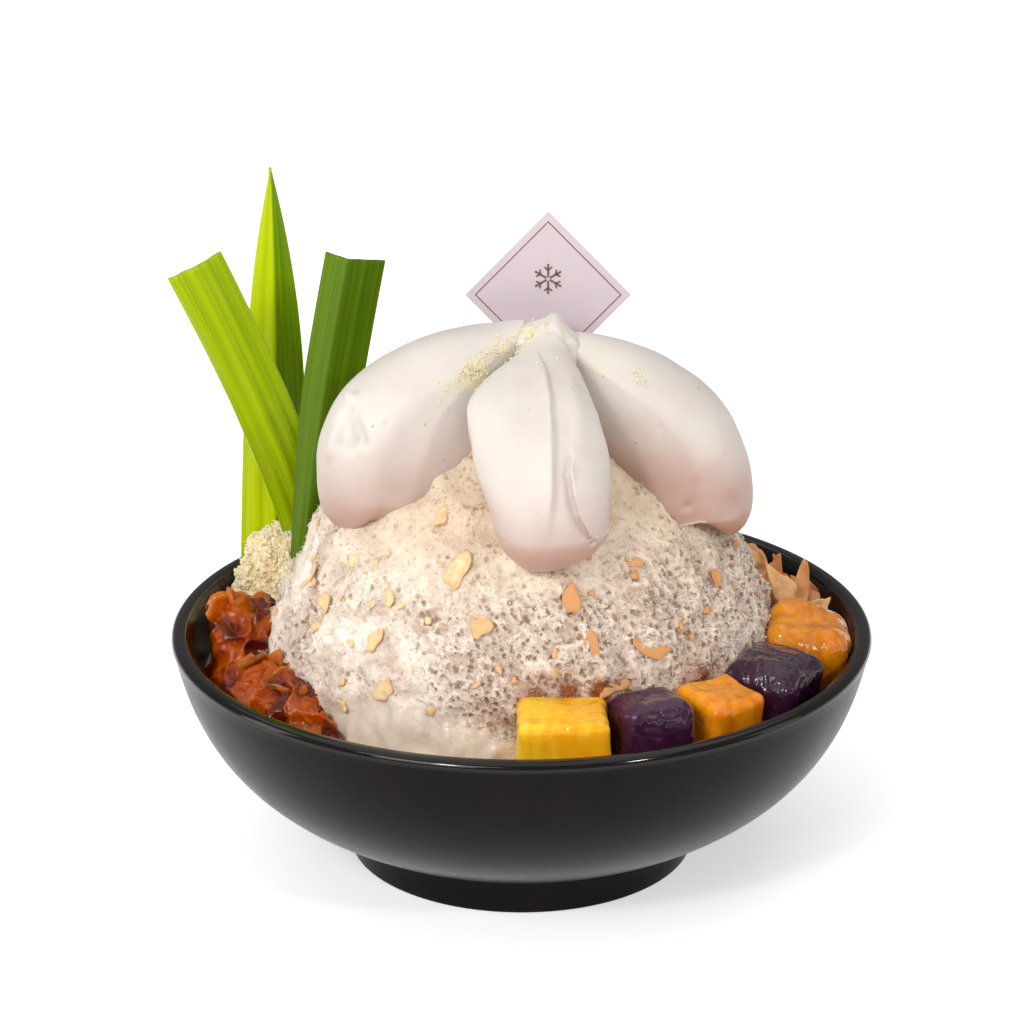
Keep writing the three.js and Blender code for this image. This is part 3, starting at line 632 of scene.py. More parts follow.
# %% Frothy milk ice
def milk_froth(name, light, deep, high, bubble_shade, stain, bump_size):
    """Froth from its light, deep and high colours, the painted shade in its bubbles, its stains and its
    dents.
    """
    material, tree, sockets = finish(
        name, IOR=1.31, Subsurface_Weight=0.35, Subsurface_Scale=1.6 * MM,
        Subsurface_Radius=(1.0, 0.78, 0.6),
    )
    spot = add(tree, "TexCoord", {})["Object"]
    attribute = add(tree, "Attribute", {}, attribute_name="froth")
    marks, open_here = add(tree, "SeparateColor", {"Color": attribute["Color"]}), attribute["Alpha"]
    # two sizes of bubbles, for dents and painted shade, in a pattern bent so no two are alike
    bent = add(tree, "TexNoise", {"Vector": spot, "Scale": per(2.2), "Detail": 2})["Color"]
    bent = add(tree, "VectorMath", {0: bent, 1: (2.3 * MM,) * 3}, operation="MULTIPLY")[0]
    bent = add(tree, "VectorMath", {0: spot, 1: bent}, operation="ADD")[0]
    cells = add(tree, "TexVoronoi", {"Vector": bent, "Scale": per(2.1)})["Distance"]
    small = add(tree, "TexVoronoi", {"Vector": bent, "Scale": per(1.1)})["Distance"]
    grain = add(tree, "TexNoise", {"Vector": spot, "Scale": per(1.6), "Detail": 2})["Fac"]
    # the froth, light to deep at random and with painted shade where open; creamier near the top
    drift = {"Vector": spot, "Scale": per(9), "Detail": 4, "Roughness": 0.75}
    drift = add(tree, "TexNoise", drift)["Fac"]
    soft = add(tree, "MapRange", {"Value": drift, LOW: 0.42, HIGH: 0.64, TO_HIGH: 0.8})[0]
    soft = {0: open_here, 1: 0.3, 2: soft}
    soft = add(tree, "Math", soft, operation="MULTIPLY_ADD", use_clamp=True)[0]
    colour = add(tree, "Mix", {SHARE: soft, ONE: paint(light), TWO: paint(deep)}, **MIX)[MIXED]
    height = add(tree, "SeparateXYZ", {"Vector": spot})["Z"]
    creamy = add(tree, "MapRange", {"Value": height, LOW: 84 * MM, HIGH: 108 * MM, TO_HIGH: 0.7})[0]
    colour = add(tree, "Mix", {SHARE: creamy, ONE: colour, TWO: paint(high)}, **MIX)[MIXED]
    # painted shade in pores, crowded where the froth is open, and none where milk has soaked it
    crowd = add(tree, "TexNoise", {"Vector": spot, "Scale": per(4), "Detail": 2})["Fac"]
    crowd = add(tree, "Math", {0: open_here, 1: 0.55, 2: crowd}, operation="MULTIPLY_ADD")[0]
    crowd = add(tree, "MapRange", {"Value": crowd, LOW: 0.55, HIGH: 0.9})[0]
    dry = add(tree, "MapRange", {"Value": marks["Blue"], TO_LOW: 1, TO_HIGH: 0})[0]
    crowd = add(tree, "Math", {0: crowd, 1: dry}, operation="MULTIPLY")[0]
    pore = add(tree, "MapRange", {"Value": cells, LOW: 0.40, HIGH: 0.16, TO_LOW: 0, TO_HIGH: 1})[0]
    pin = add(tree, "MapRange", {"Value": small, LOW: 0.30, HIGH: 0.12, TO_LOW: 0, TO_HIGH: 0.45})[0]
    pore = add(tree, "Math", {0: pore, 1: pin}, operation="MAXIMUM")[0]
    pore = add(tree, "Math", {0: pore, 1: crowd}, operation="MULTIPLY")[0]
    colour = add(tree, "Mix", {SHARE: pore, ONE: colour, TWO: paint(bubble_shade)}, **MIX)[MIXED]
    # painted shade deep in the bubbles that the dome's points sink into
    shade_deep_in = add(tree, "Math", {0: marks["Red"], 1: 0.6}, operation="MULTIPLY")[0]
    colour = add(tree, "Mix", {SHARE: shade_deep_in, ONE: colour, TWO: paint(bubble_shade)}, **MIX)[MIXED]
    colour = add(tree, "Mix", {SHARE: marks["Green"], ONE: colour, TWO: paint(stain)}, **MIX)[MIXED]
    # soaked ice is smoother, wetter and the colour of milk
    milky = add(tree, "Math", {0: marks["Blue"], 1: 0.8}, operation="MULTIPLY")[0]
    colour = add(tree, "Mix", {SHARE: milky, ONE: colour, TWO: paint("#e8dac8")}, **MIX)[MIXED]
    wire(tree, colour, sockets["Base Color"])
    hollow = add(tree, "Math", {0: pore, 1: -1.6, 2: grain}, operation="MULTIPLY_ADD")[0]
    strength = add(tree, "MapRange", {"Value": marks["Blue"], TO_LOW: 0.9, TO_HIGH: 0.35})[0]
    dents = {"Height": hollow, "Strength": strength, "Distance": bump_size * MM}
    wire(tree, add(tree, "Bump", dents)["Normal"], sockets["Normal"])
    rough = add(tree, "MapRange", {"Value": marks["Blue"], TO_LOW: 0.6, TO_HIGH: 0.1})[0]
    wire(tree, rough, sockets["Roughness"])
    wet = add(tree, "MapRange", {"Value": marks["Blue"], TO_LOW: 0.3, TO_HIGH: 0.8})[0]
    wire(tree, wet, sockets["Specular IOR Level"])
    return material


# light, deep and high froth, painted shade in bubbles and pores, and the syrup stain
ICE_COLOURS = "#fff2e4", "#cdb9a9", "#dcc5a8", "#a3836a", "#92532a"
ice_finish = milk_froth("shaved milk ice", *ICE_COLOURS, 0.55)
place_piece(dome, "ice_dome", ["shaved_ice"], [ice_finish])

# %% [markdown]
# Loose grains and short strands lie all over the froth and give it a crumbly edge against the
# light. One tiny eight-sided grain is copied thousands of times, each with its own size and
# turn, and sunk to its middle in the dome. About half of them are drawn out into threads.

# %% Grains of ice
GRAINS, THREADS = 9000, 0.5      # how many, and the share of threads
draw = np.random.default_rng(7)
GRAIN = np.vstack([np.eye(3), -np.eye(3)])
GRAIN_FACES = np.array([
    (0, 1, 2), (1, 3, 2), (3, 4, 2), (4, 0, 2), (1, 0, 5), (3, 1, 5), (4, 3, 5), (0, 4, 5),
])


def grains_on(piece, name, count, allowed, size, thread_share, marks):
    """Scatters small grains and threads over a piece, where they are allowed."""
    where = np.flatnonzero(allowed)
    picked = draw.choice(where, size=min(count, len(where)), replace=False)
    sizes = draw.uniform(*size, (len(picked), 1)) * draw.uniform(0.6, 1.25, (len(picked), 3))
    threads = draw.random(len(picked)) < thread_share
    thin = draw.uniform(0.1, 0.16, (threads.sum(), 2))
    sizes[threads] = np.column_stack([draw.uniform(0.6, 1.5, threads.sum()), thin])
    normals = normals_of(piece)[picked]
    places = points_of(piece)[picked] + normals * draw.uniform(-0.1, 0.3, (len(picked), 1))
    places += draw.uniform(-0.3, 0.3, (len(picked), 3))
    points, faces = scatter(GRAIN, GRAIN_FACES, places, any_turns(len(picked), draw), sizes)
    grains = from_points(name, points, faces)
    mark(grains, "froth", *[np.repeat(channel[picked], len(GRAIN)) for channel in marks])
    return grains


bare = (smooth_dome[:, 2] > MILK + 2) & (soak < 0.4) & (in_bubble < 0.5)
bare &= draw.random(len(soak)) < 0.25 + 0.75 * open_ice
nothing = np.zeros(len(smooth_dome))
ice_marks = (nothing, 0.7 * stained(smooth_dome), nothing, nothing)
ice_grains = grains_on(dome, "ice_grains", GRAINS, bare, (0.22, 0.5), THREADS, ice_marks)
place_piece(ice_grains, "ice_grains", [], [ice_finish])

# %% [markdown]
# ## The milk crumble
#
# At the back left a heap of yellowish milk crumble leans on the wall and holds the leaves.
# It is a ball flattened at the milk, broken up by lumps, with crumbs scattered on it.

# %% The milk crumble
CRUMBLE_AT = np.array([-61.0, 36.0, 60.0])
CRUMBLE_RADII = np.array([21.0, 20.0, 20.0])
CRUMBLE_CUTS, CRUMBS = 59, 3200


def inside_bowl(points, margin):
    """Pulls points in to where the bowl's inner wall leaves room for them."""
    wall = belly(np.linspace(0, 1, 90), WALL)
    room = np.interp(points[:, 2], wall[:, 1], wall[:, 0]) - margin
    radius = np.hypot(points[:, 0], points[:, 1])
    pull = np.minimum(1, room / np.maximum(radius, 1e-6))[:, None]
    return np.column_stack([points[:, :2] * pull, points[:, 2]])


crumble, directions = ball_of_squares(CRUMBLE_CUTS)
bump = 1 + 0.09 * waves(directions, 0.55)
points = CRUMBLE_AT + CRUMBLE_RADII * directions * bump[:, None]
near, far = bubbles(points, 3.4, 81)
cracks = ease(0.0, 0.35, far - near)
near, far = bubbles(points, 1.9, 85)
fine_cracks = ease(0.0, 0.4, far - near)
points += directions * (1.2 * cracks + 0.5 * fine_cracks + 0.6 * clouds(points, 6, 82) - 1.6)[:, None]
points[:, 2] = np.maximum(points[:, 2], MILK - 0.5)
put_points(crumble, inside_bowl(points, 0.3))
nothing = np.zeros(len(points))
# marks: painted shade in the cracks, and a little openness, which adds painted shade and pores
mark(crumble, "froth", 0.8 - 0.5 * cracks - 0.3 * fine_cracks, nothing, nothing, nothing + 0.3)
CRUMBLE_COLOURS = "#fbeecb", "#f3dba8", "#f3dba8", "#d2ac76", "#a06a3c"
crumble_finish = milk_froth("dry milk crumble", *CRUMBLE_COLOURS, 0.3)

crumble_height = points_of(crumble)[:, 2]
crumbs = grains_on(
    crumble, "crumble_crumbs", CRUMBS, crumble_height > MILK + 2, (0.3, 0.9), 0.15, (nothing,) * 4
)
put_points(crumbs, inside_bowl(points_of(crumbs), 0.2))
place_piece(crumble, "crumble_core", ["crumble_heap"], [crumble_finish])
place_piece(crumbs, "crumble_crumbs", [], [crumble_finish])

# %% [markdown]
# ## The whipped cream
#
# Each petal is one spoonful, set down at the peak and drawn outwards. Its outer face follows
# a rounded arc from the peak over the shoulder and under to the tip, and its section is half
# an oval with the underside pressed on the ice. The spoon leaves marks: a sharp crest and a
# folded flap on the middle petal, and a torn little curl on the left one.

# %% The petals' form
CREAM_AT = np.array([7.0, -3.0])
HEART = np.array([8.0, 92.0])       # the undersides taper towards this point inside the ice
ROOTED, LATERAL_DROP = 0.8, 0.011   # how far they taper, and how the sides hang down
PETALS = {
    "cream_middle": dict(
        azimuth=-3, reach=62, crown=149, shoulder=111, tip_drop=13, tuck=0.34, squareness=2.3,
        half_width=18.2, thickness=10, slim=0.7, peak=7, ridge=2.8, flap=3.4, swell=1, underside_shade=0.8,
    ),
    "cream_left": dict(
        azimuth=-76, reach=62.5, crown=151, shoulder=111, tip_drop=15, tuck=0.16, squareness=2.4,
        half_width=17.5, thickness=10.5, slim=1, peak=0, ridge=0, flap=0, swell=0, underside_shade=0.8,
    ),
    "cream_right": dict(
        azimuth=84, reach=54.5, crown=147, shoulder=102, tip_drop=9, tuck=0.16, squareness=2.2,
        half_width=17.5, thickness=10, slim=1, peak=0, ridge=0, flap=0, swell=0, underside_shade=1.2,
    ),
}
ARC_START, ARC_END = math.radians(4), math.radians(163)


def petal_line(petal, s):
    """Distance from the peak's axis and height of the outer face, at shares s of its length."""
    turn = ARC_START + (ARC_END - ARC_START) * s
    power = 2 / petal["squareness"]
    rise = np.abs(np.cos(turn)) ** power
    upper = np.cos(turn) > 0
    height = petal["shoulder"] + np.where(
        upper, (petal["crown"] - petal["shoulder"]) * rise, -petal["tip_drop"] * np.abs(np.cos(turn))
    )
    tucked = 1 - petal["tuck"] * (1 - np.sin(turn))
    rho = petal["reach"] * np.where(upper, np.sin(turn) ** power, tucked)
    return np.column_stack([rho, height + petal["peak"] * np.exp(-(rho / 7) ** 2)])


def petal_size(petal, s):
    """The petal's width along its length, as a share of its widest."""
    egg = (1 - np.abs(2 * s - 1) ** 2.6) ** (1 / 2.6)
    return egg * (petal["slim"] + (1 - petal["slim"]) * ease(-0.02, 0.34, s))


def petal_side(petal, across, s):
    """The middle petal is broad on the left near the top, and draws in towards its tip."""
    left = 0.46 * np.exp(-((s - 0.14) / 0.09) ** 2) - 0.38 * ease(0.27, 0.58, s)
    right = 0.1 * ease(0.45, 0.85, s) - 0.03
    return across * (1 + petal["swell"] * np.where(across < 0, left, right))


# %% The spoon's marks on the middle petal
# share of the length and place across
CREST = np.array([
    [0.04, -0.35], [0.11, -0.04], [0.20, 0.12], [0.28, 0.16], [0.43, 0.19], [0.55, 0.13],
])
FLAP_RIM = np.array([[0.38, 0.45], [0.43, 0.47], [0.49, 0.55], [0.54, 0.72], [0.59, 0.95]])
FLAP_TIP = (0.392, 0.46)


def petal_crest(petal, across, s):
    """Height that the spoon's edge and the folded flap add to the outer face."""
    along = ease(0.02, 0.14, s) * ease(0.56, 0.40, s)
    side = across - np.interp(s, *CREST.T)
    crest = np.where(side < 0, np.exp(side * 4.2), np.exp(-(side / 0.065) ** 2))
    second = 0.42 * np.exp(-((across - 0.6) / 0.17) ** 2) * ease(0.08, 0.16, s) * ease(0.38, 0.28, s)
    rim = across - np.interp(s, *FLAP_RIM.T)
    length = ease(0.30, 0.40, s) * ease(0.75, 0.60, s)
    flap = ease(-0.01, 0.03, rim) * ease(0.7, 0.25, rim)
    flap = (flap - 0.35 * np.exp(-((rim + 0.045) / 0.035) ** 2)) * length
    tip = np.exp(-((s - FLAP_TIP[0]) / 0.016) ** 2 - ((across - FLAP_TIP[1] - 0.01) / 0.05) ** 2)
    return petal["ridge"] * along * (crest + second - 0.5) + petal["flap"] * (flap + 0.8 * tip)


def petal_points(petal, s, around):
    """The petal's points, from shares of its length and angles round its section."""
    angle = math.radians(petal["azimuth"])
    forward = np.array([math.sin(angle), -math.cos(angle), 0])
    sideways = np.array([math.cos(angle), math.sin(angle), 0])
    step = 0.002
    along = petal_line(petal, np.minimum(s + step, 1)) - petal_line(petal, np.maximum(s - step, 0))
    along /= np.linalg.norm(along, axis=1, keepdims=True)
    normal = np.column_stack([-along[:, 1], along[:, 0]])
    size = petal_size(petal, s)
    deep = petal["thickness"] * size
    across = petal_side(petal, petal["half_width"] * size * np.cos(around), s)
    section = petal_line(petal, s) - normal * deep[:, None]
    upper = np.sin(around) > 0
    crest = petal_crest(petal, np.cos(around), s) * size
    lifted = section + normal * ((deep + crest) * np.sin(around))[:, None]
    share = np.clip(-ROOTED * np.sqrt(size) * np.sin(around), 0, 1)[:, None]
    section = np.where(upper[:, None], lifted, section + (HEART - section) * share)
    section[:, 0] -= LATERAL_DROP * across ** 2 * np.minimum(1, 2 * s)
    spine = np.array([*CREAM_AT, 0]) + section[:, :1] * forward + across[:, None] * sideways
    return spine + np.column_stack([np.zeros((len(s), 2)), section[:, 1]])


# %% Spooning the petals
AROUND, ALONG = 190, 170    # points round a petal, and rings along it
CURL_TIP = np.array([-44.3, -22.7, 132.8])      # a torn curl on the left petal, and its two legs
CURL_LEGS = np.array([[-47.6, -25.2, 125.2], [-40.4, -29.6, 126.4]])


def press_in(points, normals, begin, end, radius, depth):
    """Presses a soft groove in along a line, or raises it where the depth is negative."""
    begin, end = np.array(begin, float), np.array(end, float)
    share = np.clip((points - begin) @ (end - begin) / max((end - begin) @ (end - begin), 1e-9), 0, 1)
    gap = np.linalg.norm(points - begin - share[:, None] * (end - begin), axis=1)
    return points - normals * (depth * np.exp(-(gap / radius) ** 2))[:, None]


def spoon(name):
    """One petal, with its lumps, its air holes and the marks of the spoon."""
    petal = PETALS[name]
    piece = start(bpy.ops.mesh.primitive_uv_sphere_add, segments=AROUND, ring_count=ALONG)
    ball = points_of(piece) * MM
    q = np.arccos(np.clip(ball[:, 2], -1, 1)) / np.pi
    s = (1 - np.cos(np.pi * q)) / 2                 # closer rings at both blunt ends
    turn = np.arctan2(ball[:, 1], ball[:, 0])
    put_points(piece, petal_points(petal, s, turn))
    outwards(piece)
    points, normals = points_of(piece), normals_of(piece)
    soft = 0.5 * clouds(points, 16, 91) + 0.28 * clouds(points, 7, 92) + 0.05 * clouds(points, 2.4, 93)
    nicks = ease(0.16, 0.04, bubbles(points, 8.5, 95)[0])
    points = points + normals * (soft - 0.5 * nicks)[:, None]
    if name == "cream_left":
        foot = CURL_LEGS.mean(axis=0)
        marks = [(0.6 * CURL_TIP + 0.4 * foot, 0.15 * CURL_TIP + 0.85 * foot, 2.8, 4.2)]
        marks += [(CURL_TIP, leg, 1.2, 1.8) for leg in CURL_LEGS]
        marks += [(CURL_TIP + [0, 0.2, 0.6], CURL_TIP + [0.2, 0.9, 2.4], 1.3, -4.8)]
        marks += [(CURL_LEGS[0] + [-2, 1, 3], CURL_LEGS[0] + [-2, 1, -4], 1.6, -1.2)]
        for begin, end, radius, depth in marks:
            points = press_in(points, normals, begin, end, radius, depth)
    put_points(piece, points)
    return piece


petals = {name: spoon(name) for name in PETALS}
PEAK_AT, PEAK_RADII = np.array([4.5, -6.0, 143.0]), np.array([12.0, 8.0, 7.8])
peak = start(bpy.ops.mesh.primitive_ico_sphere_add, subdivisions=6, radius=1)
ball = points_of(peak) * MM
lumpy = 1 + 0.08 * clouds(ball * 10, 6.5, 97) + 0.05 * clouds(ball * 10, 2.6, 98)
points = PEAK_AT + PEAK_RADII * ball * lumpy[:, None]
points[:, 2] += 3.0 * np.exp(-((points[:, 0] - 9) / 2.8) ** 2) * ease(145, 149.5, points[:, 2])
put_points(peak, points)
petals["cream_peak"] = peak
print("cream:", ", ".join(petals))

COVERED = 60             # crumbs that cover a spot
CRUMB_SPOTS = (
    # centre, radius, crumbs
    ((-12.5, -22, 140.5), 3.2, 110), ((-11, -19, 143), 2.6, 70), ((-5, -15, 146), 3, 80),
    ((2, -11, 149), 3, 60), ((31, -17, 139.5), 2.4, 34), ((20, -14, 143), 6, 12),
    ((-18, -26, 138), 4, 12), ((6, -26, 147), 7, 6),
)


def powdered(points):
    """How thickly crumbs and their dust lie at each point of the cream."""
    spots = [
        min(1, count / COVERED) * np.exp(-(np.linalg.norm(points - centre, axis=1) / radius) ** 2)
        for centre, radius, count in CRUMB_SPOTS
    ]
    return np.clip(sum(spots) * (0.8 + 0.8 * clouds(points, 2.2, 99)), 0, 1)


# The marks: a painted rose-brown shade on the undersides that face down, below the shoulders, and the
# crumbs' dust.
for name, piece in petals.items():
    underside_shade = PETALS[name]["underside_shade"] if name in PETALS else 0.2
    under = underside_shade * ease(0.8, -0.5, normals_of(piece)[:, 2]) * ease(137, 108, points_of(piece)[:, 2])
    mark(piece, "cream", under, powdered(points_of(piece)))

# %% [markdown]
# Whipped cream is a stiff foam with a fat, satin skin. Light goes a few millimetres into it
# and comes out warmer, so its edges and shadows turn a soft rose, and a painted rose-brown shade
# darkens the undersides that face down. A few small air holes break the skin.

# %% Whipped cream
cream_finish, tree, sockets = finish(
    "whipped cream", IOR=1.38, Subsurface_Weight=0.4, Subsurface_Scale=2.6 * MM,
    Subsurface_Radius=(1.0, 0.62, 0.48), Specular_IOR_Level=0.35,
)
spot = add(tree, "TexCoord", {})["Object"]
# air holes in the skin: dents, with a painted shade inside them
holes = add(tree, "TexVoronoi", {"Vector": spot, "Scale": per(6.5), "Randomness": 1})["Distance"]
holes = add(tree, "MapRange", {"Value": holes, LOW: 0.035, HIGH: 0.085})[0]
skin = add(tree, "TexNoise", {"Vector": spot, "Scale": per(2.4), "Detail": 3})["Fac"]
drift = add(tree, "TexNoise", {"Vector": spot, "Scale": per(20), "Detail": 3})["Fac"]
blend = add(tree, "MapRange", {"Value": drift, LOW: 0.35, HIGH: 0.65})[0]
colour = add(tree, "Mix", {SHARE: blend, ONE: paint("#ddd7d1"), TWO: paint("#d5cdc7")}, **MIX)[MIXED]
colour = add(tree, "Mix", {SHARE: holes, ONE: paint("#c4ab9a"), TWO: colour}, **MIX)[MIXED]
marks = add(tree, "Attribute", {}, attribute_name="cream")["Color"]
marks = add(tree, "SeparateColor", {"Color": marks})
# painted shade: the undersides turn rose-brown
colour = add(tree, "Mix", {SHARE: marks["Red"], ONE: colour, TWO: paint("#ae8473")}, **MIX)[MIXED]
dust = add(tree, "Math", {0: marks["Green"], 1: 0.8}, operation="MULTIPLY")[0]
colour = add(tree, "Mix", {SHARE: dust, ONE: colour, TWO: paint("#f2e4b4")}, **MIX)[MIXED]
wire(tree, colour, sockets["Base Color"])
height = add(tree, "Math", {0: holes, 1: 1.6, 2: skin}, operation="MULTIPLY_ADD")[0]
bump = add(tree, "Bump", {"Height": height, "Strength": 0.3, "Distance": 0.12 * MM})["Normal"]
wire(tree, bump, sockets["Normal"])
rough = add(tree, "MapRange", {"Value": drift, TO_LOW: 0.36, TO_HIGH: 0.5})[0]
wire(tree, rough, sockets["Roughness"])
for name, piece in petals.items():
    solid = name in PETALS
    place_piece(piece, name + "_petal" * solid, [name] * solid, [cream_finish])

# %% [markdown]
# Crumbs of the same dry milk crumble have fallen on the cream, most of them into the folds
# round the peak.

# %% Crumbs on the cream
cream_points = np.vstack([points_of(piece) for piece in petals.values()])
cream_normals = np.vstack([normals_of(piece) for piece in petals.values()])
draw = np.random.default_rng(31)
picked = []
for centre, radius, count in CRUMB_SPOTS:
    near = np.exp(-(np.linalg.norm(cream_points - np.array(centre), axis=1) / radius) ** 2)
    near *= cream_normals[:, 2] > 0.05
    picked += list(draw.choice(len(near), size=count, replace=False, p=near / near.sum()))
sizes = draw.uniform(0.2, 0.62, (len(picked), 1)) ** 1.2 * draw.uniform(0.6, 1.2, (len(picked), 3))
places = cream_points[picked] + cream_normals[picked] * 0.1 + draw.normal(size=(len(picked), 3)) * 0.25
points, faces = scatter(GRAIN, GRAIN_FACES, places, any_turns(len(picked), draw), sizes)
fallen = from_points("cream_crumbs", points, faces)
mark(fallen, "froth", *np.zeros((4, len(points))))
FALLEN_COLOURS = "#fff6da", "#fbeec4", "#fbeec4", "#f0dca8", "#a06a3c"
fallen_finish = milk_froth("yellow milk crumbs", *FALLEN_COLOURS, 0.2)
place_piece(fallen, "cream_crumbs", [], [fallen_finish])

# %% [markdown]
# ## Sweet potato and taro
#
# The cubes were cut by hand, boiled and tossed in syrup: their edges are worn round and their
# faces swell a little. A cube cut into small squares is clamped to a smaller box and pushed
# out by the size of the round, which rounds all its edges at once.

# %% Boiled cubes
CUBES = {
    # node: centre, size, turn, lean, seed
    "sweet_potato_front": ((10.4, -73, 59), (23, 18, 23), 3, 4, 3),
    "taro_front": ((32.5, -67, 59), (18.8, 18, 23.5), 19, -3, 5),
    "sweet_potato_middle": ((50.5, -56, 57.5), (17.5, 16.5, 22), 38, 5, 9),
    "taro_right": ((65, -39, 58.5), (23, 22, 24), 56, 3, 14),
    "sweet_potato_right": ((75.5, -14.5, 59), (24, 23, 26), 78, 10, 21),
}
CUBE_EDGES = {           # share of the half side that is rounded off
    "sweet_potato_front": 0.22, "taro_front": 0.46, "sweet_potato_middle": 0.26, "taro_right": 0.44,
    "sweet_potato_right": 0.6,
}
KNOBBLY = {"sweet_potato_right": 2.4, "taro_right": 2.0, "taro_front": 1.5}
CUBE_CUTS, PLAIN_KNOBS = 55, 0.8


def boiled(name):
    """One cut cube with worn edges and an uneven face."""
    centre, size, turn, lean, seed = CUBES[name]
    piece, corners = squares(CUBE_CUTS)
    edge = CUBE_EDGES[name]
    core = np.clip(corners, edge - 1, 1 - edge)
    rim = corners - core
    rim *= edge / np.maximum(np.linalg.norm(rim, axis=1, keepdims=True), 1e-9)
    corners = core + rim
    shifted = corners + np.array([seed, 0, -seed])
    corners *= 1 + 0.045 * waves(shifted, 1.9)[:, None]
    swing = Euler((math.radians(lean), 0, math.radians(turn))).to_matrix()
    points = corners * np.array(size) / 2 @ np.array(swing).T + np.array(centre)
    put_points(piece, points)
    outwards(piece)
    rough = KNOBBLY.get(name, PLAIN_KNOBS)
    bent = points + 2 * bends(points, 7, (seed + 2, seed + 3, seed + 4))
    uneven = rough * (0.6 * clouds(bent, 9, seed) + 0.1 * clouds(bent, 4.2, seed + 1)) + 0.1
    put_points(piece, inside_bowl(points + normals_of(piece) * uneven[:, None], 0.15))
    return piece


cubes = {name: boiled(name) for name in CUBES}
print("cubes:", ", ".join(cubes))


# %% [markdown]
# Boiled roots are dense and waxy, with faint fibres running one way. Syrup lies on them as a
# thin wet coat that catches small bright lights along the edges. Sweet potato glows, because
# light travels far in it, while purple taro stays dark and mottled.


# %% Boiled roots in syrup
def root_flesh(name, pale, deep, dark, glow, depth, cube, droplets):
    (x, *_), (wide, *_), turn, *_ = cube
    material, tree, sockets = finish(
        name, IOR=1.4, Roughness=0.32, Specular_IOR_Level=0.1, Subsurface_Weight=0.7,
        Subsurface_Scale=depth * MM, Subsurface_Radius=glow,
        Coat_Weight=1.0, Coat_Roughness=0.02, Coat_IOR=1.47,
    )
    spot = add(tree, "TexCoord", {})["Object"]
    sideways = add(tree, "SeparateXYZ", {"Vector": spot})["X"]
    # fibres, deeper towards the right, and dark blotches
    left, right = (x - wide / 2) * MM, (x + wide / 2) * MM
    sweep = add(tree, "MapRange", {"Value": sideways, LOW: left, HIGH: right, TO_HIGH: 0.6})[0]
    swing = (0, 0, -math.radians(turn))
    fibres = add(tree, "Mapping", {"Vector": spot, "Rotation": swing, "Scale": (1, 1, 0.3)})[0]
    fibres = add(tree, "TexNoise", {"Vector": fibres, "Scale": per(2.6), "Detail": 2})["Fac"]
    streak = add(tree, "MapRange", {"Value": fibres, LOW: 0.4, HIGH: 0.66, TO_HIGH: 0.5})[0]
    streak = add(tree, "Math", {0: streak, 1: sweep}, operation="ADD")[0]
    colour = add(tree, "Mix", {SHARE: streak, ONE: paint(pale), TWO: paint(deep)}, **MIX)[MIXED]
    blotch = {"Vector": spot, "Scale": per(8), "Detail": 4, "Roughness": 0.55}
    blotch = add(tree, "TexNoise", blotch)["Fac"]
    blotch = add(tree, "MapRange", {"Value": blotch, LOW: 0.50, HIGH: 0.74, TO_HIGH: 0.7})[0]
    colour = add(tree, "Mix", {SHARE: blotch, ONE: colour, TWO: paint(dark)}, **MIX)[MIXED]
    wire(tree, colour, sockets["Base Color"])
    bump = add(tree, "Bump", {"Height": fibres, "Strength": 0.3, "Distance": 0.15 * MM})["Normal"]
    wire(tree, bump, sockets["Normal"])
    # the syrup's film and droplets, in the coat alone
    syrup = add(tree, "TexNoise", {"Vector": spot, "Scale": per(3.6), "Detail": 0})["Fac"]
    drops = add(tree, "TexNoise", {"Vector": spot, "Scale": per(1.5), "Detail": 0})["Fac"]
    syrup = add(tree, "Math", {0: drops, 1: droplets, 2: syrup}, operation="MULTIPLY_ADD")[0]
    film = add(tree, "Bump", {"Height": syrup, "Strength": 1.0, "Distance": 1.1 * MM})["Normal"]
    wire(tree, film, sockets["Coat Normal"])
    return material


ORANGE_GLOW, PURPLE_GLOW = (1.0, 0.5, 0.1), (1.0, 0.3, 0.6)
ROOTS = {
    # pale, deep and dark flesh, glow and its depth, height of the syrup's droplets
    "sweet_potato_front": ("#ffd22c", "#ffa60e", "#ff960a", ORANGE_GLOW, 4.0, 0.3),
    "taro_front": ("#4a1f42", "#36152f", "#210d1d", PURPLE_GLOW, 1.0, 0.45),
    "sweet_potato_middle": ("#fba616", "#da7a04", "#bc6002", ORANGE_GLOW, 4.0, 0.3),
    "taro_right": ("#3e1c38", "#2a1226", "#180a15", PURPLE_GLOW, 1.0, 0.5),
    "sweet_potato_right": ("#e8980e", "#c66e06", "#9e5004", ORANGE_GLOW, 3.0, 0.3),
}
for name, piece in cubes.items():
    root = "boiled taro" if name.startswith("taro") else "boiled sweet potato"
    *looks, droplets = ROOTS[name]
    flesh = root_flesh(f"{root}, {name.split('_')[-1]}", *looks, CUBES[name], droplets)
    place_piece(piece, name + "_cube", [name], [flesh])

# %% [markdown]
# ## Pandan leaves
#
# Pandan is a long strap-like leaf, folded along its middle, with a vein every millimetre. A
# grid is bent along a curve, then given a thickness: a pointed leaf, one that leans out over
# the rim with its end cut off, and one folded dark leaf in front.

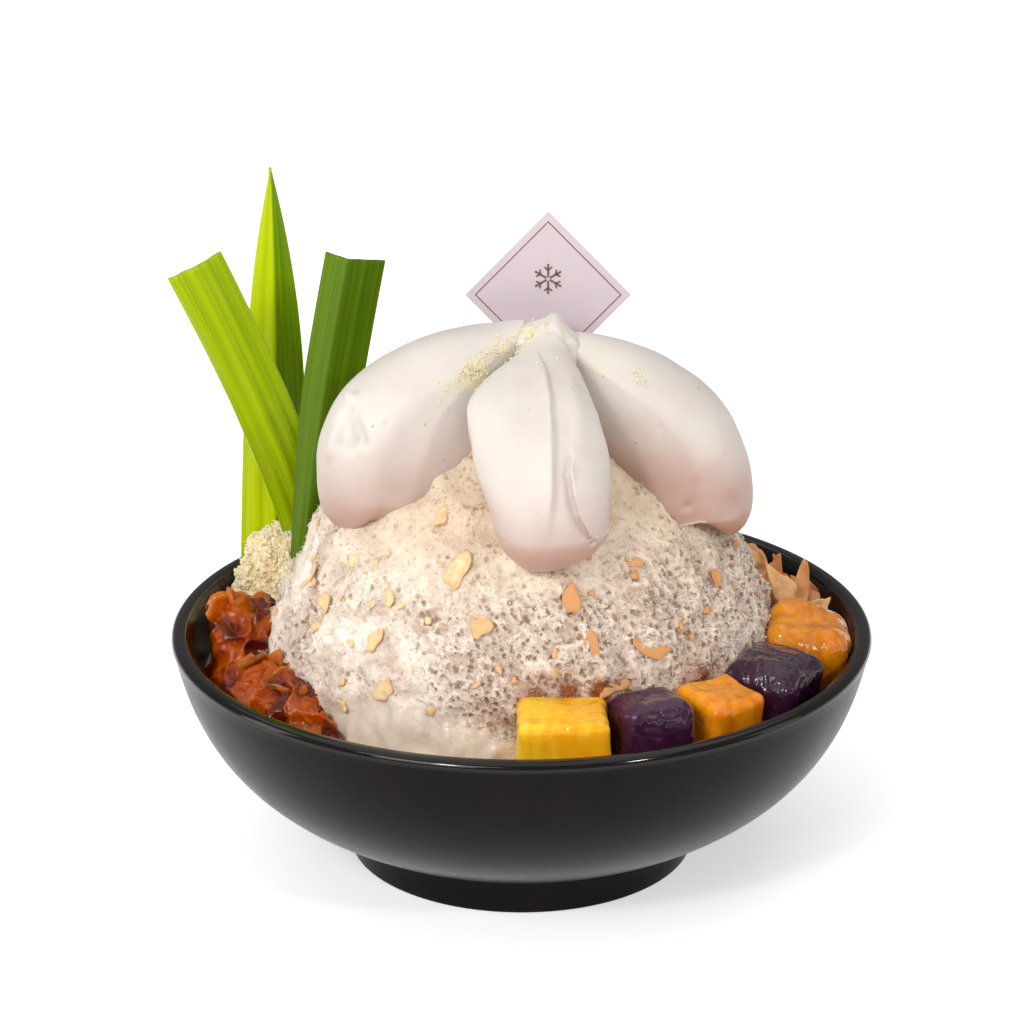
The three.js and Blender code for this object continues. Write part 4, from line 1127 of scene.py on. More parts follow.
# %% The leaves' form
LEAVES = {
    "pandan_pointed": dict(
        line=((-71, 44, 58), (-67.5, 43, 120), (-68.5, 40, 181)), width=19, base=0.95, pointed=True,
        fold=0.32, fold_at=0, facing=(0.25, -1, 0), wave=0.5,
    ),
    "pandan_leaning": dict(
        line=((-57, 33, 66), (-64, 32, 103), (-86.2, 6, 162.5)), width=15.6, base=0.9, pointed=False,
        fold=0.1, fold_at=0.1, facing=(0.1, -1, 0.1), wave=0.9,
    ),
    "pandan_folded": dict(
        line=((-61, 22, 62), (-56, 21.5, 105), (-44.8, 20, 160.5)), width=16, base=0.55, pointed=False,
        fold=0.5, fold_at=-0.25, facing=(0, -1, 0.05), wave=0.4,
    ),
}
LEAF_THICKNESS = 0.7


def leaf(name):
    """One leaf, bent along its line, folded and pleated, with a thickness."""
    shape = LEAVES[name]
    piece = start(bpy.ops.mesh.primitive_grid_add, x_subdivisions=44, y_subdivisions=110, size=2)
    u, v = (points_of(piece) * MM)[:, :2].T
    t = ((v + 1) / 2)[:, None]
    a, b, c = np.array(shape["line"], float)
    spine = (1 - t) ** 2 * a + 2 * t * (1 - t) * b + t * t * c
    along = (1 - t) * (b - a) + t * (c - b)
    along /= np.linalg.norm(along, axis=1, keepdims=True)
    across = np.cross(along, np.array(shape["facing"], float))
    across /= np.linalg.norm(across, axis=1, keepdims=True)
    out = np.cross(across, along)
    t = t[:, 0]
    grow = shape["base"] + (1 - shape["base"]) * ease(0, 0.7, t)
    if shape["pointed"]:
        grow = np.maximum(1 - t ** 3, 0.012) * (shape["base"] + (1 - shape["base"]) * np.sin(np.pi * t))
    half = shape["width"] / 2 * grow
    fold = np.sqrt((u - shape["fold_at"]) ** 2 + 0.0016)
    depth = -shape["fold"] * half * fold + shape["wave"] * np.sin(3 * np.pi * t + 2 * u) * np.abs(u)
    pleats = 0.2 * np.cos(2 * np.pi * 1.7 * u + 0.5 + t) * (1 - 0.4 * t)
    depth += (pleats + 0.03 * np.cos(2 * np.pi * 9 * u)) * grow
    put_points(piece, spine + across * (half * u)[:, None] + out * depth[:, None])
    apply(piece, "SOLIDIFY", thickness=LEAF_THICKNESS * MM, offset=0, use_even_offset=False)
    outwards(piece)
    return piece


leaves = {name: leaf(name) for name in LEAVES}
print("leaves:", ", ".join(leaves))


# %% [markdown]
# A pandan leaf is waxy and glossy above. The left side of its fold is painted lighter, partly
# its own tone and partly painted light, where it faces the light and light comes through it. Its
# veins show as fine light lines along its length, over broader pale and dark bands. The
# pattern runs with the leaf, so it reads the leaf's own map: across is u and along is v.


# %% Waxy pandan leaf
def pandan(name, left, right, dark, vein, fold_at, mottle):
    material, tree, sockets = finish(
        name, IOR=1.4, Roughness=0.27, Subsurface_Weight=0.12, Subsurface_Scale=0.8 * MM,
        Subsurface_Radius=(0.8, 1.0, 0.15), Specular_IOR_Level=0.24,
    )
    where = add(tree, "TexCoord", {})["UV"]
    parts = add(tree, "SeparateXYZ", {"Vector": where})
    across = parts["X"]
    # the two sides of the fold: partly the leaf's own two tones, partly painted light on the left
    two_tone_and_lit_halves = add(tree, "MapRange", {"Value": across, LOW: fold_at - 0.015, HIGH: fold_at + 0.015})[0]
    colour = add(tree, "Mix", {SHARE: two_tone_and_lit_halves, ONE: paint(left), TWO: paint(right)}, **MIX)[MIXED]
    stretched = add(tree, "Mapping", {"Vector": where, "Scale": (8, 0.7, 1)})[0]
    bands = {"Vector": stretched, "Scale": 1.0, "Detail": 3, "Roughness": 0.6}
    bands = add(tree, "TexNoise", bands)["Fac"]
    deeper = add(tree, "MapRange", {"Value": bands, LOW: 0.56, HIGH: 0.38, TO_HIGH: mottle})[0]
    colour = add(tree, "Mix", {SHARE: deeper, ONE: colour, TWO: paint(dark)}, **MIX)[MIXED]
    threads = add(tree, "Mapping", {"Vector": where, "Scale": (46, 1.6, 1)})[0]
    threads = {"Vector": threads, "Scale": 1.0, "Detail": 2, "Roughness": 0.6}
    threads = add(tree, "TexNoise", threads)["Fac"]
    lines = add(tree, "MapRange", {"Value": threads, LOW: 0.52, HIGH: 0.74, TO_HIGH: 0.55})[0]
    colour = add(tree, "Mix", {SHARE: lines, ONE: colour, TWO: paint(vein)}, **MIX)[MIXED]
    wire(tree, colour, sockets["Base Color"])
    height = add(tree, "Math", {0: bands, 1: 1.2, 2: threads}, operation="MULTIPLY_ADD")[0]
    bump = add(tree, "Bump", {"Height": height, "Strength": 0.45, "Distance": 0.1 * MM})["Normal"]
    wire(tree, bump, sockets["Normal"])
    return material


GREENS = {
    # left of the fold, painted lighter partly as light, right of it, darker bands, veins,
    # place of the fold, strength of the bands
    "pandan_pointed": ("#c0d200", "#688e00", "#5e8000", "#c6d81c", 0.5, 0.3),
    "pandan_leaning": ("#a2b900", "#94ad00", "#6f8e00", "#b8cb24", 0.5, 0.6),
    "pandan_folded": ("#5c7c08", "#4c6a00", "#3a5600", "#6f8e14", 0.375, 0.5),
}
for name, piece in leaves.items():
    green = pandan(name.replace("_", " "), *GREENS[name])
    place_piece(piece, name + "_leaf", [name], [green])

# %% [markdown]
# ## Thin slices and shards
#
# Almond flakes, toasted curls and broken jelly are all small slices with an uneven outline
# and some bend. One rule makes them: a disc of rings and spokes with a top, a bottom and a
# round edge, whose outline wanders and whose body curls.


# %% A slice
def slice_shape(width, length, thickness, curl, ragged, draw, rings=4, spokes=18, corners=5):
    """Points, faces and closeness to the edge of one thin slice that lies on the ground."""
    turn = 2 * np.pi * np.arange(spokes) / spokes
    phase, strength = draw.uniform(0, 2 * np.pi, 4), ragged * draw.uniform(0.4, 1, 4)
    outline = 1 + sum(
        s * np.cos((k + 2) * turn + p) / (k + 1.5) for k, (s, p) in enumerate(zip(strength, phase))
    )
    half_side = np.pi / corners
    straight = np.cos(half_side) / np.cos((turn + phase[0]) % (2 * half_side) - half_side)
    outline *= 1 - ragged + ragged * straight
    steps = np.append(np.linspace(0, 0.86, rings)[1:], [0.97, 1.0])
    heights = np.append(np.full(rings - 1, 0.5), [0.36, 0.0])
    points, edge = [[0, 0, 0.5 * thickness]], [0.0]
    for share, height in [*zip(steps, heights), *zip(steps[-2::-1], -heights[-2::-1])]:
        for spoke in range(spokes):
            reach = share * outline[spoke]
            x, y = reach * math.cos(turn[spoke]), reach * math.sin(turn[spoke])
            points.append([x, y, height * thickness])
            edge.append(share)
    points.append([0, 0, -0.5 * thickness])
    edge.append(0.0)
    points = np.array(points)
    across, along = points[:, 0].copy(), points[:, 1].copy()
    points[:, 0] *= width / 2
    points[:, 1] *= length / 2
    warp = draw.normal(size=3)
    points[:, 2] += curl * (across ** 2 + 0.35 * warp[0] * along ** 2 + 0.5 * warp[1] * across * along)
    points[:, 2] += 0.16 * thickness * clouds(points, 1.6, int(draw.integers(999)))
    faces = [(0, 1 + k, 1 + (k + 1) % spokes) for k in range(spokes)]
    loops = (len(points) - 2) // spokes
    for loop in range(loops - 1):
        low = 1 + loop * spokes
        for k in range(spokes):
            after = (k + 1) % spokes
            faces.append((low + k, low + spokes + k, low + spokes + after))
            faces.append((low + k, low + spokes + after, low + after))
    last, end = 1 + (loops - 1) * spokes, len(points) - 1
    faces += [(end, last + (k + 1) % spokes, last + k) for k in range(spokes)]
    return points, np.array(faces), np.array(edge)


# %% Many slices in one piece
def gather(name, shapes):
    """One piece from many shapes. Each shape is its points, faces and marks."""
    step, points, faces, marks = 0, [], [], []
    for shape_points, shape_faces, shape_marks in shapes:
        points.append(shape_points)
        faces.append(shape_faces + step)
        marks.append(shape_marks)
        step += len(shape_points)
    piece = from_points(name, np.vstack(points), np.vstack(faces))
    mark(piece, "slices", *np.vstack(marks).T)
    return piece


# %% [markdown]
# ## Almond flakes on the ice
#
# The flakes are thin slices of toasted almond, pale in the middle and browner at the edge.
# They lie flat on the froth or stick in it at an angle, at the places where the solid ice
# carries its own, with a few more small crumbs between them.

# %% Almond flakes on the ice
DOME_FLAKES = (
    # azimuth, height, width, length, turn
    (-65, 87, 6, 3.5, 80), (-36, 89, 5.5, 7, 10), (-17, 98, 5, 9, -15), (-9, 87, 4, 8, 0),
    (-35, 80, 5, 4, 70), (-54, 84, 3, 6, 5), (-54, 78, 3, 3, 0), (-30, 69, 5, 5.5, 30),
    (-51, 95, 4, 4, 40), (-44, 95, 4, 4.5, -30), (-28, 108, 3.5, 6, 0), (14, 92, 4, 9, -10),
    (17, 81, 4.5, 9.5, 5), (32, 79, 9, 6.5, -25), (22, 72, 8, 4, 30), (35, 98, 4, 4, 20),
    (61, 88, 4, 4.5, 0), (52, 83, 3, 3, 0),
)
BACK_FLAKES, BACK_FROM, BACK_TO = 18, 105, 255
TINY_FLAKES, LARGE_FLAKE = 70, 3.4


def flake_places(draw):
    """Azimuth, height, width, length and turn of every flake, seen and unseen."""
    places = list(DOME_FLAKES)
    for i in range(BACK_FLAKES):
        azimuth = BACK_FROM + (BACK_TO - BACK_FROM) * (i + draw.random()) / BACK_FLAKES
        size = draw.uniform(3.5, 6.5), draw.uniform(5, 9)
        places.append((azimuth, draw.uniform(66, 114), *size, draw.uniform(0, 180)))
    for i in range(TINY_FLAKES):
        size = draw.uniform(1.2, 2.6, 2)
        places.append((draw.uniform(-180, 180), draw.uniform(60, 112), *size, draw.uniform(0, 180)))
    return places


def on_dome(shape, azimuth, height, turn, tilt, lift):
    """Lays a flat shape on the dome, turned on the spot and tilted out of the surface."""
    place, frame_here = dome_frame(azimuth, height)
    spin = np.array(Euler((tilt, 0, math.radians(turn))).to_matrix())
    return (shape @ spin.T) @ frame_here.T + place + frame_here[:, 2] * lift


draw = np.random.default_rng(11)
almonds = []
for i, (azimuth, height, width, length, turn) in enumerate(flake_places(draw)):
    large = max(width, length) > LARGE_FLAKE
    curl = draw.uniform(-0.4, 0.9) if large else 0.2
    rings, spokes, thickness = (5, 26, 0.5) if large else (2, 8, 0.8)
    points, faces, edge = slice_shape(
        width * 1.25, length * 1.15, thickness, curl, 0.36, draw,
        rings=rings, spokes=spokes, corners=int(draw.integers(3, 6)),
    )
    tilt = draw.normal() * (0.25 if large else 0.6)
    points = on_dome(points, azimuth, height, turn, tilt, 0.3 if large else 0.1)
    tone = np.full(len(points), 0.35 * draw.random() + 0.65 * float(ease(-25, 20, azimuth)))
    almonds.append((points, faces, np.column_stack([tone, edge ** 2, tone])))
flakes = gather("almond_flakes", almonds)
print("almond flakes:", len(almonds))

# %% [markdown]
# Toasted almond is cream-coloured and slightly greasy, and browns from the edge inwards. Each
# flake carries a tone that is partly random and golder towards the right of the dome, and its
# closeness to the edge, so no two look alike.


# %% Toasted almond
def toasted(name, pale, gold, brown, shine):
    material, tree, sockets = finish(
        name, IOR=1.45, Roughness=shine, Subsurface_Weight=0.3, Subsurface_Scale=1.5 * MM,
        Subsurface_Radius=(1.0, 0.6, 0.3),
    )
    spot = add(tree, "TexCoord", {})["Object"]
    marks = add(tree, "Attribute", {}, attribute_name="slices")["Color"]
    marks = add(tree, "SeparateColor", {"Color": marks})
    colour = add(tree, "Mix", {SHARE: marks["Red"], ONE: paint(pale), TWO: paint(gold)}, **MIX)[MIXED]
    mottle = add(tree, "TexNoise", {"Vector": spot, "Scale": per(1.8), "Detail": 4})["Fac"]
    mottle = add(tree, "MapRange", {"Value": mottle, LOW: 0.42, HIGH: 0.75, TO_HIGH: 0.6})[0]
    colour = add(tree, "Mix", {SHARE: mottle, ONE: colour, TWO: paint(gold)}, **MIX)[MIXED]
    rim = add(tree, "MapRange", {"Value": marks["Green"], LOW: 0.4, HIGH: 1.0, TO_HIGH: 0.4})[0]
    colour = add(tree, "Mix", {SHARE: rim, ONE: colour, TWO: paint(brown)}, **MIX)[MIXED]
    wire(tree, colour, sockets["Base Color"])
    bump = add(tree, "Bump", {"Height": mottle, "Strength": 0.4, "Distance": 0.12 * MM})["Normal"]
    wire(tree, bump, sockets["Normal"])
    return material


almond_finish = toasted("toasted almond", "#f9dbaa", "#d8965a", "#c58550", 0.45)
place_piece(flakes, "almond_flakes", [], [almond_finish])

# %% [markdown]
# ## The heap of toasted curls
#
# At the back right the same almond lies in a heap, in larger and darker curls. A small lumpy
# core fills the heap, and the curls stand on it at all angles.

# %% The heap of toasted curls
HEAP_AT = np.array([71.0, 22.0, 55.0])
HEAP_RADII = np.array([15.0, 17.0, 19.0])
HEAP_CURLS = 18

core = start(bpy.ops.mesh.primitive_ico_sphere_add, subdivisions=5, radius=1)
ball = points_of(core) * MM
points = HEAP_AT + (HEAP_RADII - 6.5) * ball * (1 + 0.12 * clouds(ball * 10, 4, 5))[:, None]
points[:, 2] = np.maximum(points[:, 2], MILK - 0.5)
core_points = inside_bowl(points, 0.8)
core_faces = triangles_of(core)
bpy.data.objects.remove(core)
curls = [(core_points, core_faces, np.tile([0.6, 0.2, 0.5], (len(core_points), 1)))]
for i in range(HEAP_CURLS):
    azimuth = 2.4 * i           # radians: the golden angle spreads them evenly
    rise = draw.uniform(0.2, 0.8)
    level = math.sqrt(1 - rise * rise)
    points, faces, edge = slice_shape(
        draw.uniform(8, 12), draw.uniform(12, 17), 0.9, draw.uniform(0.8, 3.6), 0.7, draw,
        rings=6, spokes=28, corners=3,
    )
    swing = Euler((draw.uniform(0.5, 1.5), draw.normal() * 0.5, azimuth + draw.normal() * 0.6))
    points = points @ np.array(swing.to_matrix()).T
    reach = np.array([level * math.cos(azimuth), level * math.sin(azimuth), rise])
    points = points + HEAP_AT + HEAP_RADII * reach * np.array([0.72, 0.76, 0.62])
    points[:, 2] = np.maximum(points[:, 2], MILK - 0.5)
    tone = np.full(len(points), draw.random())
    curls.append((inside_bowl(points, 0.4), faces, np.column_stack([tone, edge ** 2, tone])))

STANDING = (
    # centre, width, length, thickness, curl, turns round x, y and z, tone
    ((64, 27, 71.5), 12, 13, 5.5, 1.0, (1.25, 0.3, 0.2), 0.45),
    ((61.5, 24, 75), 9, 8, 2.2, 1.6, (0.7, 0.2, 0.3), 0.0),
    ((77.5, 15, 70), 7, 15, 0.9, 1.4, (1.45, 0.12, -0.15), 0.35),
    ((71, 8, 71.5), 9.5, 16, 0.8, 0.6, (1.4, -0.5, 0.4), 0.0),
    ((81.5, 5, 66.5), 7.5, 9, 0.8, 0.8, (1.3, 0.9, 0.2), 0.1),
    ((69, 17, 71), 8, 13, 0.9, 1.8, (1.4, 0.3, 0.5), 0.7),
)
for centre, width, length, thickness, curl, turns, tone in STANDING:
    points, faces, edge = slice_shape(
        width, length, thickness, curl, 0.35, draw, rings=6, spokes=28, corners=4,
    )
    points[:, 0] *= np.interp(points[:, 1], [-length / 2, length / 2], [1.2, 0.3])
    points = points @ np.array(Euler(turns).to_matrix()).T + np.array(centre, float)
    tone = np.full(len(points), tone)
    curls.append((inside_bowl(points, 0.4), faces, np.column_stack([tone, 0.7 * edge ** 2, tone])))
heap = gather("toasted_curls", curls)
curl_finish = toasted("deep toasted almond", "#eec48c", "#cd803a", "#a25824", 0.35)
place_piece(heap, "toasted_curls", ["toasted_flakes"], [curl_finish])

# %% [markdown]
# ## Brown sugar jelly
#
# The jelly was crushed into a heap against the wall, so it is one crumpled lump with sharp
# creases, and torn shards half sunk in it. Clear amber stacked on itself turns nearly black,
# with gold where a crest or a single shard lets light through; that gold is painted into the
# colour of the crests and the shards' edges.

# %% Brown sugar jelly
JELLY = {
    # node: first and last azimuth, radius of the heap's middle, top, spread, shards, seed
    "jelly_back": (-103, -74, 75.5, 71.5, 11, 6, 4),
    "jelly_front": (-78, -41, 75, 65, 11, 9, 8),
}
CREASE, FOLD = 7.0, 3.0  # sizes of the sharp creases and of the folds between them
LUMP_SEGMENTS, LUMP_RINGS = 230, 130


def jelly_lump(name):
    """The crumpled lump: points, faces and marks."""
    first, last, radius, top, spread, _, seed = JELLY[name]
    lump = start(bpy.ops.mesh.primitive_uv_sphere_add, segments=LUMP_SEGMENTS, ring_count=LUMP_RINGS)
    ball = points_of(lump) * MM
    ball *= np.abs(ball).max(axis=1, keepdims=True) ** -0.35
    azimuth = np.radians((first + last) / 2 + ball[:, 0] * (last - first) / 2)
    reach = radius + spread * ball[:, 1]
    height = MILK - 1 + (top - MILK + 1) * np.clip(ball[:, 2], 0, 1)
    put_points(lump, np.column_stack([reach * np.sin(azimuth), -reach * np.cos(azimuth), height]))
    outwards(lump)
    points, facing = points_of(lump), normals_of(lump)
    bent = points + 1.6 * bends(points, 4.5, (seed + 1, seed + 2, seed + 3))
    crest, small = creases(bent, CREASE, seed + 4), creases(bent, FOLD, seed + 5)
    slump = clouds(points, 12, seed + 6)
    points += facing * (2.8 * crest + 0.9 * small + 2.6 * slump - 2.2)[:, None]
    points[:, 2] = np.maximum(points[:, 2], MILK - 1)
    faces = triangles_of(lump)
    bpy.data.objects.remove(lump)
    tone = 0.5 + 0.9 * clouds(bent, 7, seed + 7)
    # the crests carry a painted gold glow
    marks = np.column_stack([tone, ease(0.55, 1, crest) * 0.8, tone])
    return inside_bowl(points, 0.3), faces, marks, facing


def jelly_heap(name):
    """The lump with torn shards half sunk in it."""
    *_, count, seed = JELLY[name]
    draw = np.random.default_rng(seed)
    points, faces, marks, facing = jelly_lump(name)
    heap = [(points, faces, marks)]
    open_to_air = np.flatnonzero((points[:, 2] > MILK + 2) & (facing[:, 2] > -0.2))
    for spot in draw.choice(open_to_air, size=count):
        size = draw.uniform(6, 10)
        shard, faces, edge = slice_shape(
            size, size * draw.uniform(0.8, 1.5), draw.uniform(1.6, 2.8), draw.uniform(-1.2, 1.2), 0.5,
            draw, rings=6, spokes=28, corners=int(draw.integers(3, 5)),
        )
        own = seed + int(spot)
        shard = shard + 0.9 * bends(shard, 3.0, (own, own + 50, own + 90))
        shard = shard @ any_turns(1, draw)[0].T + points[spot] - 1.6 * facing[spot]
        shard[:, 2] = np.maximum(shard[:, 2], MILK - 1)
        tone = np.full(len(shard), draw.uniform(0.2, 1))
        # the shard's edge carries the painted gold glow
        heap.append((inside_bowl(shard, 0.3), faces, np.column_stack([tone, edge ** 2, tone])))
    return gather(name, heap)


jellies = {name: jelly_heap(name) for name in JELLY}
print("jelly:", ", ".join(jellies))

# %% [markdown]
# Brown sugar jelly is clear, wet and firm. Light goes in and comes out orange, and the thin
# crests and shard edges get a painted gold glow. Cloudy patches run from deep amber to a cherry
# brown, so the heap has depth.

# %% Clear amber jelly
jelly_finish, tree, sockets = finish(
    "brown sugar jelly", IOR=1.36, Roughness=0.05, Transmission_Weight=0.28, Subsurface_Weight=0.7,
    Subsurface_Scale=2.2 * MM, Subsurface_Radius=(1.0, 0.32, 0.05), Specular_IOR_Level=0.25,
    Coat_Weight=0.5, Coat_Roughness=0.02, Coat_IOR=1.36,
)
spot = add(tree, "TexCoord", {})["Object"]
marks = add(tree, "Attribute", {}, attribute_name="slices")["Color"]
marks = add(tree, "SeparateColor", {"Color": marks})
cloudy = add(tree, "TexNoise", {"Vector": spot, "Scale": per(4.5), "Detail": 3})["Fac"]
cloudy = add(tree, "Math", {0: cloudy, 1: 1.1, 2: marks["Red"]}, operation="MULTIPLY_ADD")[0]
cloudy = add(tree, "MapRange", {"Value": cloudy, LOW: 0.5, HIGH: 1.6})[0]
colour = add(tree, "Mix", {SHARE: cloudy, ONE: paint("#a03000"), TWO: paint("#cc6002")}, **MIX)[MIXED]
# painted glow: gold on the crests and thin edges
thin = add(tree, "MapRange", {"Value": marks["Green"], LOW: 0.55, HIGH: 1.0, TO_HIGH: 0.5})[0]
colour = add(tree, "Mix", {SHARE: thin, ONE: colour, TWO: paint("#e8962a")}, **MIX)[MIXED]
cherry = add(tree, "MapRange", {"Value": cloudy, LOW: 0.38, HIGH: 0.12, TO_HIGH: 0.9})[0]
colour = add(tree, "Mix", {SHARE: cherry, ONE: colour, TWO: paint("#641a05")}, **MIX)[MIXED]
wire(tree, colour, sockets["Base Color"])
wrinkles = add(tree, "TexNoise", {"Vector": spot, "Scale": per(3.2), "Detail": 2})["Fac"]
bump = add(tree, "Bump", {"Height": wrinkles, "Strength": 0.6, "Distance": 0.7 * MM})["Normal"]
wire(tree, bump, sockets["Normal"])
for name, piece in jellies.items():
    place_piece(piece, name + "_shards", [name], [jelly_finish])

# %% [markdown]
# ## The sign
#
# A square of coated card stands on its corner, on a birch pick pushed into the ice. The card
# is a thin plate with pressed edges. Its face is inset twice, and the narrow ring between the
# two insets takes the ink of the border line. A plain snow star fills the middle.

# %% The card
CARD_SIDE, CARD_THICK, CARD_LEAN = 31.2, 0.8, 12
CARD_AT = (7, 11, 153.6)
BORDER_IN, BORDER_LINE = 2.3, 0.46

card = start(bpy.ops.mesh.primitive_cube_add, size=1)
points = points_of(card) * MM * np.array([CARD_SIDE, CARD_THICK, CARD_SIDE])
put_points(card, points)
apply(card, "BEVEL", width=0.15 * MM, segments=2)
graph = bmesh.new()
graph.from_mesh(card.data)
front = max(graph.faces, key=lambda face: face.calc_area() * (-face.normal.y))
bmesh.ops.inset_individual(graph, faces=[front], thickness=BORDER_IN * MM)
ring = bmesh.ops.inset_individual(graph, faces=[front], thickness=BORDER_LINE * MM)["faces"]
for face in ring:
    face.material_index = 1
graph.to_mesh(card.data)
graph.free()


# %% The snow star
def bar(start_at, end_at, width):
    """A thin raised strip of ink on the card's face, between two places on it."""
    a, b = np.array(start_at), np.array(end_at)
    along = (b - a) / np.linalg.norm(b - a)
    side = np.array([-along[1], along[0]]) * width / 2
    front, back = -CARD_THICK / 2 - 0.06, -CARD_THICK / 2 + 0.05
    points = [[x, y, z] for y in (front, back) for x, z in (a - side, a + side, b + side, b - side)]
    faces = [(0, 1, 2, 3), (7, 6, 5, 4), (0, 4, 5, 1), (1, 5, 6, 2), (2, 6, 7, 3), (3, 7, 4, 0)]
    return np.array(points), faces


STAR_AT, STAR_REACH, STAR_INK = np.array([0.0, 4.2]), 4.0, 0.6
strips = []
for arm in range(6):
    turn = math.radians(90 + 60 * arm)
    tip = np.array([math.cos(turn), math.sin(turn)])
    strips.append(bar(STAR_AT + 0.5 * tip, STAR_AT + STAR_REACH * tip, STAR_INK))
    for side in (-1, 1):
        twig = np.array([math.cos(turn + side * 0.9), math.sin(turn + side * 0.9)])
        fork = STAR_AT + 0.58 * STAR_REACH * tip
        strips.append(bar(fork, fork + 0.34 * STAR_REACH * twig, STAR_INK * 0.8))
star_points, star_faces = [], []
for points, faces in strips:
    star_faces += [tuple(8 * len(star_points) + k for k in face) for face in faces]
    star_points.append(points)
CORNER_UP = np.array(Matrix.Rotation(math.radians(45), 3, "Y"))
LEAN = np.array(Matrix.Rotation(-math.radians(CARD_LEAN), 3, "X"))
upright = np.vstack(star_points) @ CORNER_UP     # turned back first, so that it ends upright
star = from_points("star", upright, star_faces)
outwards(star)


def on_card(points):
    """Turns flat card points onto their corner, leans them back and puts them in place."""
    return points @ (LEAN @ CORNER_UP).T + np.array(CARD_AT)


put_points(card, on_card(points_of(card)))
put_points(star, on_card(points_of(star)))
print("card and star:", len(card.data.polygons), "and", len(star.data.polygons), "faces")

# %% [markdown]
# Coated card is smooth with a dull sheen. Its ink is a warm grey. The pick is split birch with
# its grain along its length.

# %% Card, ink and birch
card_finish, tree, sockets = finish("coated card", IOR=1.5, Specular_IOR_Level=0.3)
spot = add(tree, "TexCoord", {})["Object"]
fleck = add(tree, "TexNoise", {"Vector": spot, "Scale": per(7), "Detail": 5})["Fac"]
colour = add(tree, "Mix", {SHARE: fleck, ONE: paint("#cbbdc4"), TWO: paint("#c8b9bf")}, **MIX)[MIXED]
wire(tree, colour, sockets["Base Color"])
rough = add(tree, "MapRange", {"Value": fleck, TO_LOW: 0.42, TO_HIGH: 0.55})[0]
wire(tree, rough, sockets["Roughness"])

ink_finish, tree, sockets = finish("warm grey ink", IOR=1.5)
spot = add(tree, "TexCoord", {})["Object"]
worn = add(tree, "TexNoise", {"Vector": spot, "Scale": per(1.2), "Detail": 3})["Fac"]
colour = add(tree, "Mix", {SHARE: worn, ONE: paint("#674840"), TWO: paint("#7a5a50")}, **MIX)[MIXED]
wire(tree, colour, sockets["Base Color"])
rough = add(tree, "MapRange", {"Value": worn, TO_LOW: 0.45, TO_HIGH: 0.6})[0]
wire(tree, rough, sockets["Roughness"])

birch, tree, sockets = finish("split birch", IOR=1.5, Specular_IOR_Level=0.35)
spot = add(tree, "TexCoord", {})["Object"]
grain = add(tree, "Mapping", {"Vector": spot, "Scale": (1, 1, 0.06)})[0]
grain = add(tree, "TexNoise", {"Vector": grain, "Scale": per(0.5), "Detail": 4})["Fac"]
colour = add(tree, "Mix", {SHARE: grain, ONE: paint("#e2c79c"), TWO: paint("#c49c68")}, **MIX)[MIXED]
wire(tree, colour, sockets["Base Color"])
rough = add(tree, "MapRange", {"Value": grain, TO_LOW: 0.5, TO_HIGH: 0.7})[0]
wire(tree, rough, sockets["Roughness"])

place_piece(card, "card_plate", ["sign_card"], [card_finish, ink_finish], smooth=False)
place_piece(star, "card_star", [], [ink_finish], smooth=False)

# %% The pick
PICK_RADIUS, PICK_LENGTH, PICK_DROP = 1.1, 46.0, 15
pick = start(bpy.ops.mesh.primitive_cylinder_add, vertices=20, depth=1, end_fill_type="NGON")
edit(pick, (bpy.ops.mesh.subdivide, {"number_cuts": 12, "smoothness": 0}))
points = points_of(pick) * MM
points[:, :2] *= (PICK_RADIUS * (0.93 + 0.05 * clouds(points * 12, 3, 5)))[:, None]
points[:, 2] = points[:, 2] * (PICK_LENGTH - 0.4) - PICK_DROP
points[:, 1] += PICK_RADIUS + CARD_THICK / 2 + 0.3
put_points(pick, points @ LEAN.T + np.array(CARD_AT))
outwards(pick)
place_piece(pick, "birch_pick", ["sign_pick"], [birch])

# %% [markdown]
# ## The studio
#
# The bowl stands on a pale floor that runs on behind it, so the picture has no horizon. Most
# of the light comes from a broad ceiling and from all around, as in a white tent. A large soft
# window at the front left gives the cream its shape, and two panels at the sides draw soft
# grey bands on the dark bowl. A narrow strip runs along the lip, and two small lamps make the
# bright points on syrup and jelly.

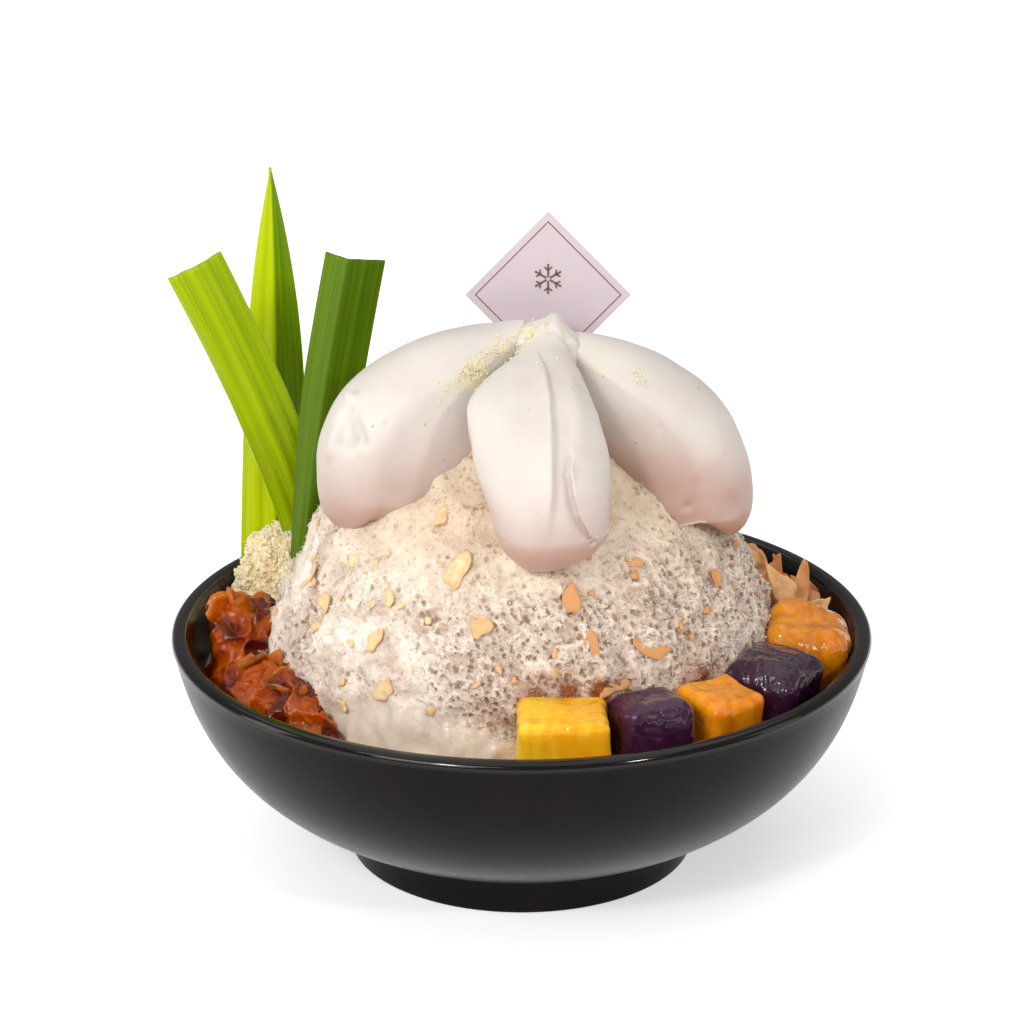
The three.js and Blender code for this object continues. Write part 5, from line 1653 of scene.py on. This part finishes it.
# %% The floor
FLOOR_RADIUS = 6.0
floor = start(bpy.ops.mesh.primitive_circle_add, vertices=96, radius=FLOOR_RADIUS, fill_type="NGON")
floor.name = "studio_floor"
acrylic, tree, sockets = finish(
    "white studio acrylic, lit from below", Roughness=0.9, Emission_Color=(1, 1, 1, 1),
    Emission_Strength=0.45,
)
spot = add(tree, "TexCoord", {})["Object"]
tooth = add(tree, "TexNoise", {"Vector": spot, "Scale": per(30), "Detail": 3})["Fac"]
colour = add(tree, "Mix", {SHARE: tooth, ONE: paint("#fbfbfb"), TWO: paint("#f9f9f9")}, **MIX)[MIXED]
wire(tree, colour, sockets["Base Color"])
floor.data.materials.append(acrylic)

# %% The light
WARM = (1.0, 0.985, 0.965)
BOWL_MIDDLE, BOWL_LOW = (0, 0, 0.09), (0, 0, 0.05)
LIGHTS = {
    # name: place and aim in metres, two sides in metres, power in watts
    "ceiling": ((-0.2, 0.35, 2.0), (-0.2, 0.35, 0), (3.0, 3.0), 22),
    "window": ((-0.85, -1.45, 0.95), BOWL_MIDDLE, (1.0, 0.7), 8.8),
    "left_panel": ((-1.3, -0.1, 0.45), BOWL_LOW, (0.4, 0.8), 2.5),
    "right_panel": ((1.3, -0.1, 0.45), BOWL_LOW, (0.4, 0.8), 1.0),
    "strip": ((-0.6, -1.0, 1.0), BOWL_MIDDLE, (1.1, 0.06), 3.0),
    "left_lamp": ((-0.45, -1.0, 0.8), BOWL_MIDDLE, (0.12, 0.12), 3.0),
    "right_lamp": ((0.7, -0.9, 0.75), BOWL_MIDDLE, (0.1, 0.1), 3.2),
}
SURROUND = 0.28          # strength of the light from all around

for name, (place, aim, size, power) in LIGHTS.items():
    light = start(bpy.ops.object.light_add, type="AREA", location=place)
    light.name = name
    light.data.shape = "RECTANGLE"
    light.data.size, light.data.size_y = size
    light.data.energy, light.data.color = power, WARM
    away = Vector(place) - Vector(aim)
    light.rotation_euler = away.to_track_quat("Z", "Y").to_euler()

world = bpy.data.worlds.new("white tent")
bpy.context.scene.world = world
world.use_nodes = True
sky = world.node_tree.nodes["Background"].inputs
sky["Color"].default_value = (*WARM, 1)
sky["Strength"].default_value = SURROUND
print("lights:", ", ".join(LIGHTS))

# %% Colours and bounces
view = bpy.context.scene.view_settings
view.view_transform = "Standard"
view.look = "None"
cycles = bpy.context.scene.cycles
cycles.use_denoising = True
cycles.max_bounces, cycles.diffuse_bounces = 7, 3
cycles.glossy_bounces, cycles.transmission_bounces = 3, 6
print("bounces:", cycles.max_bounces)
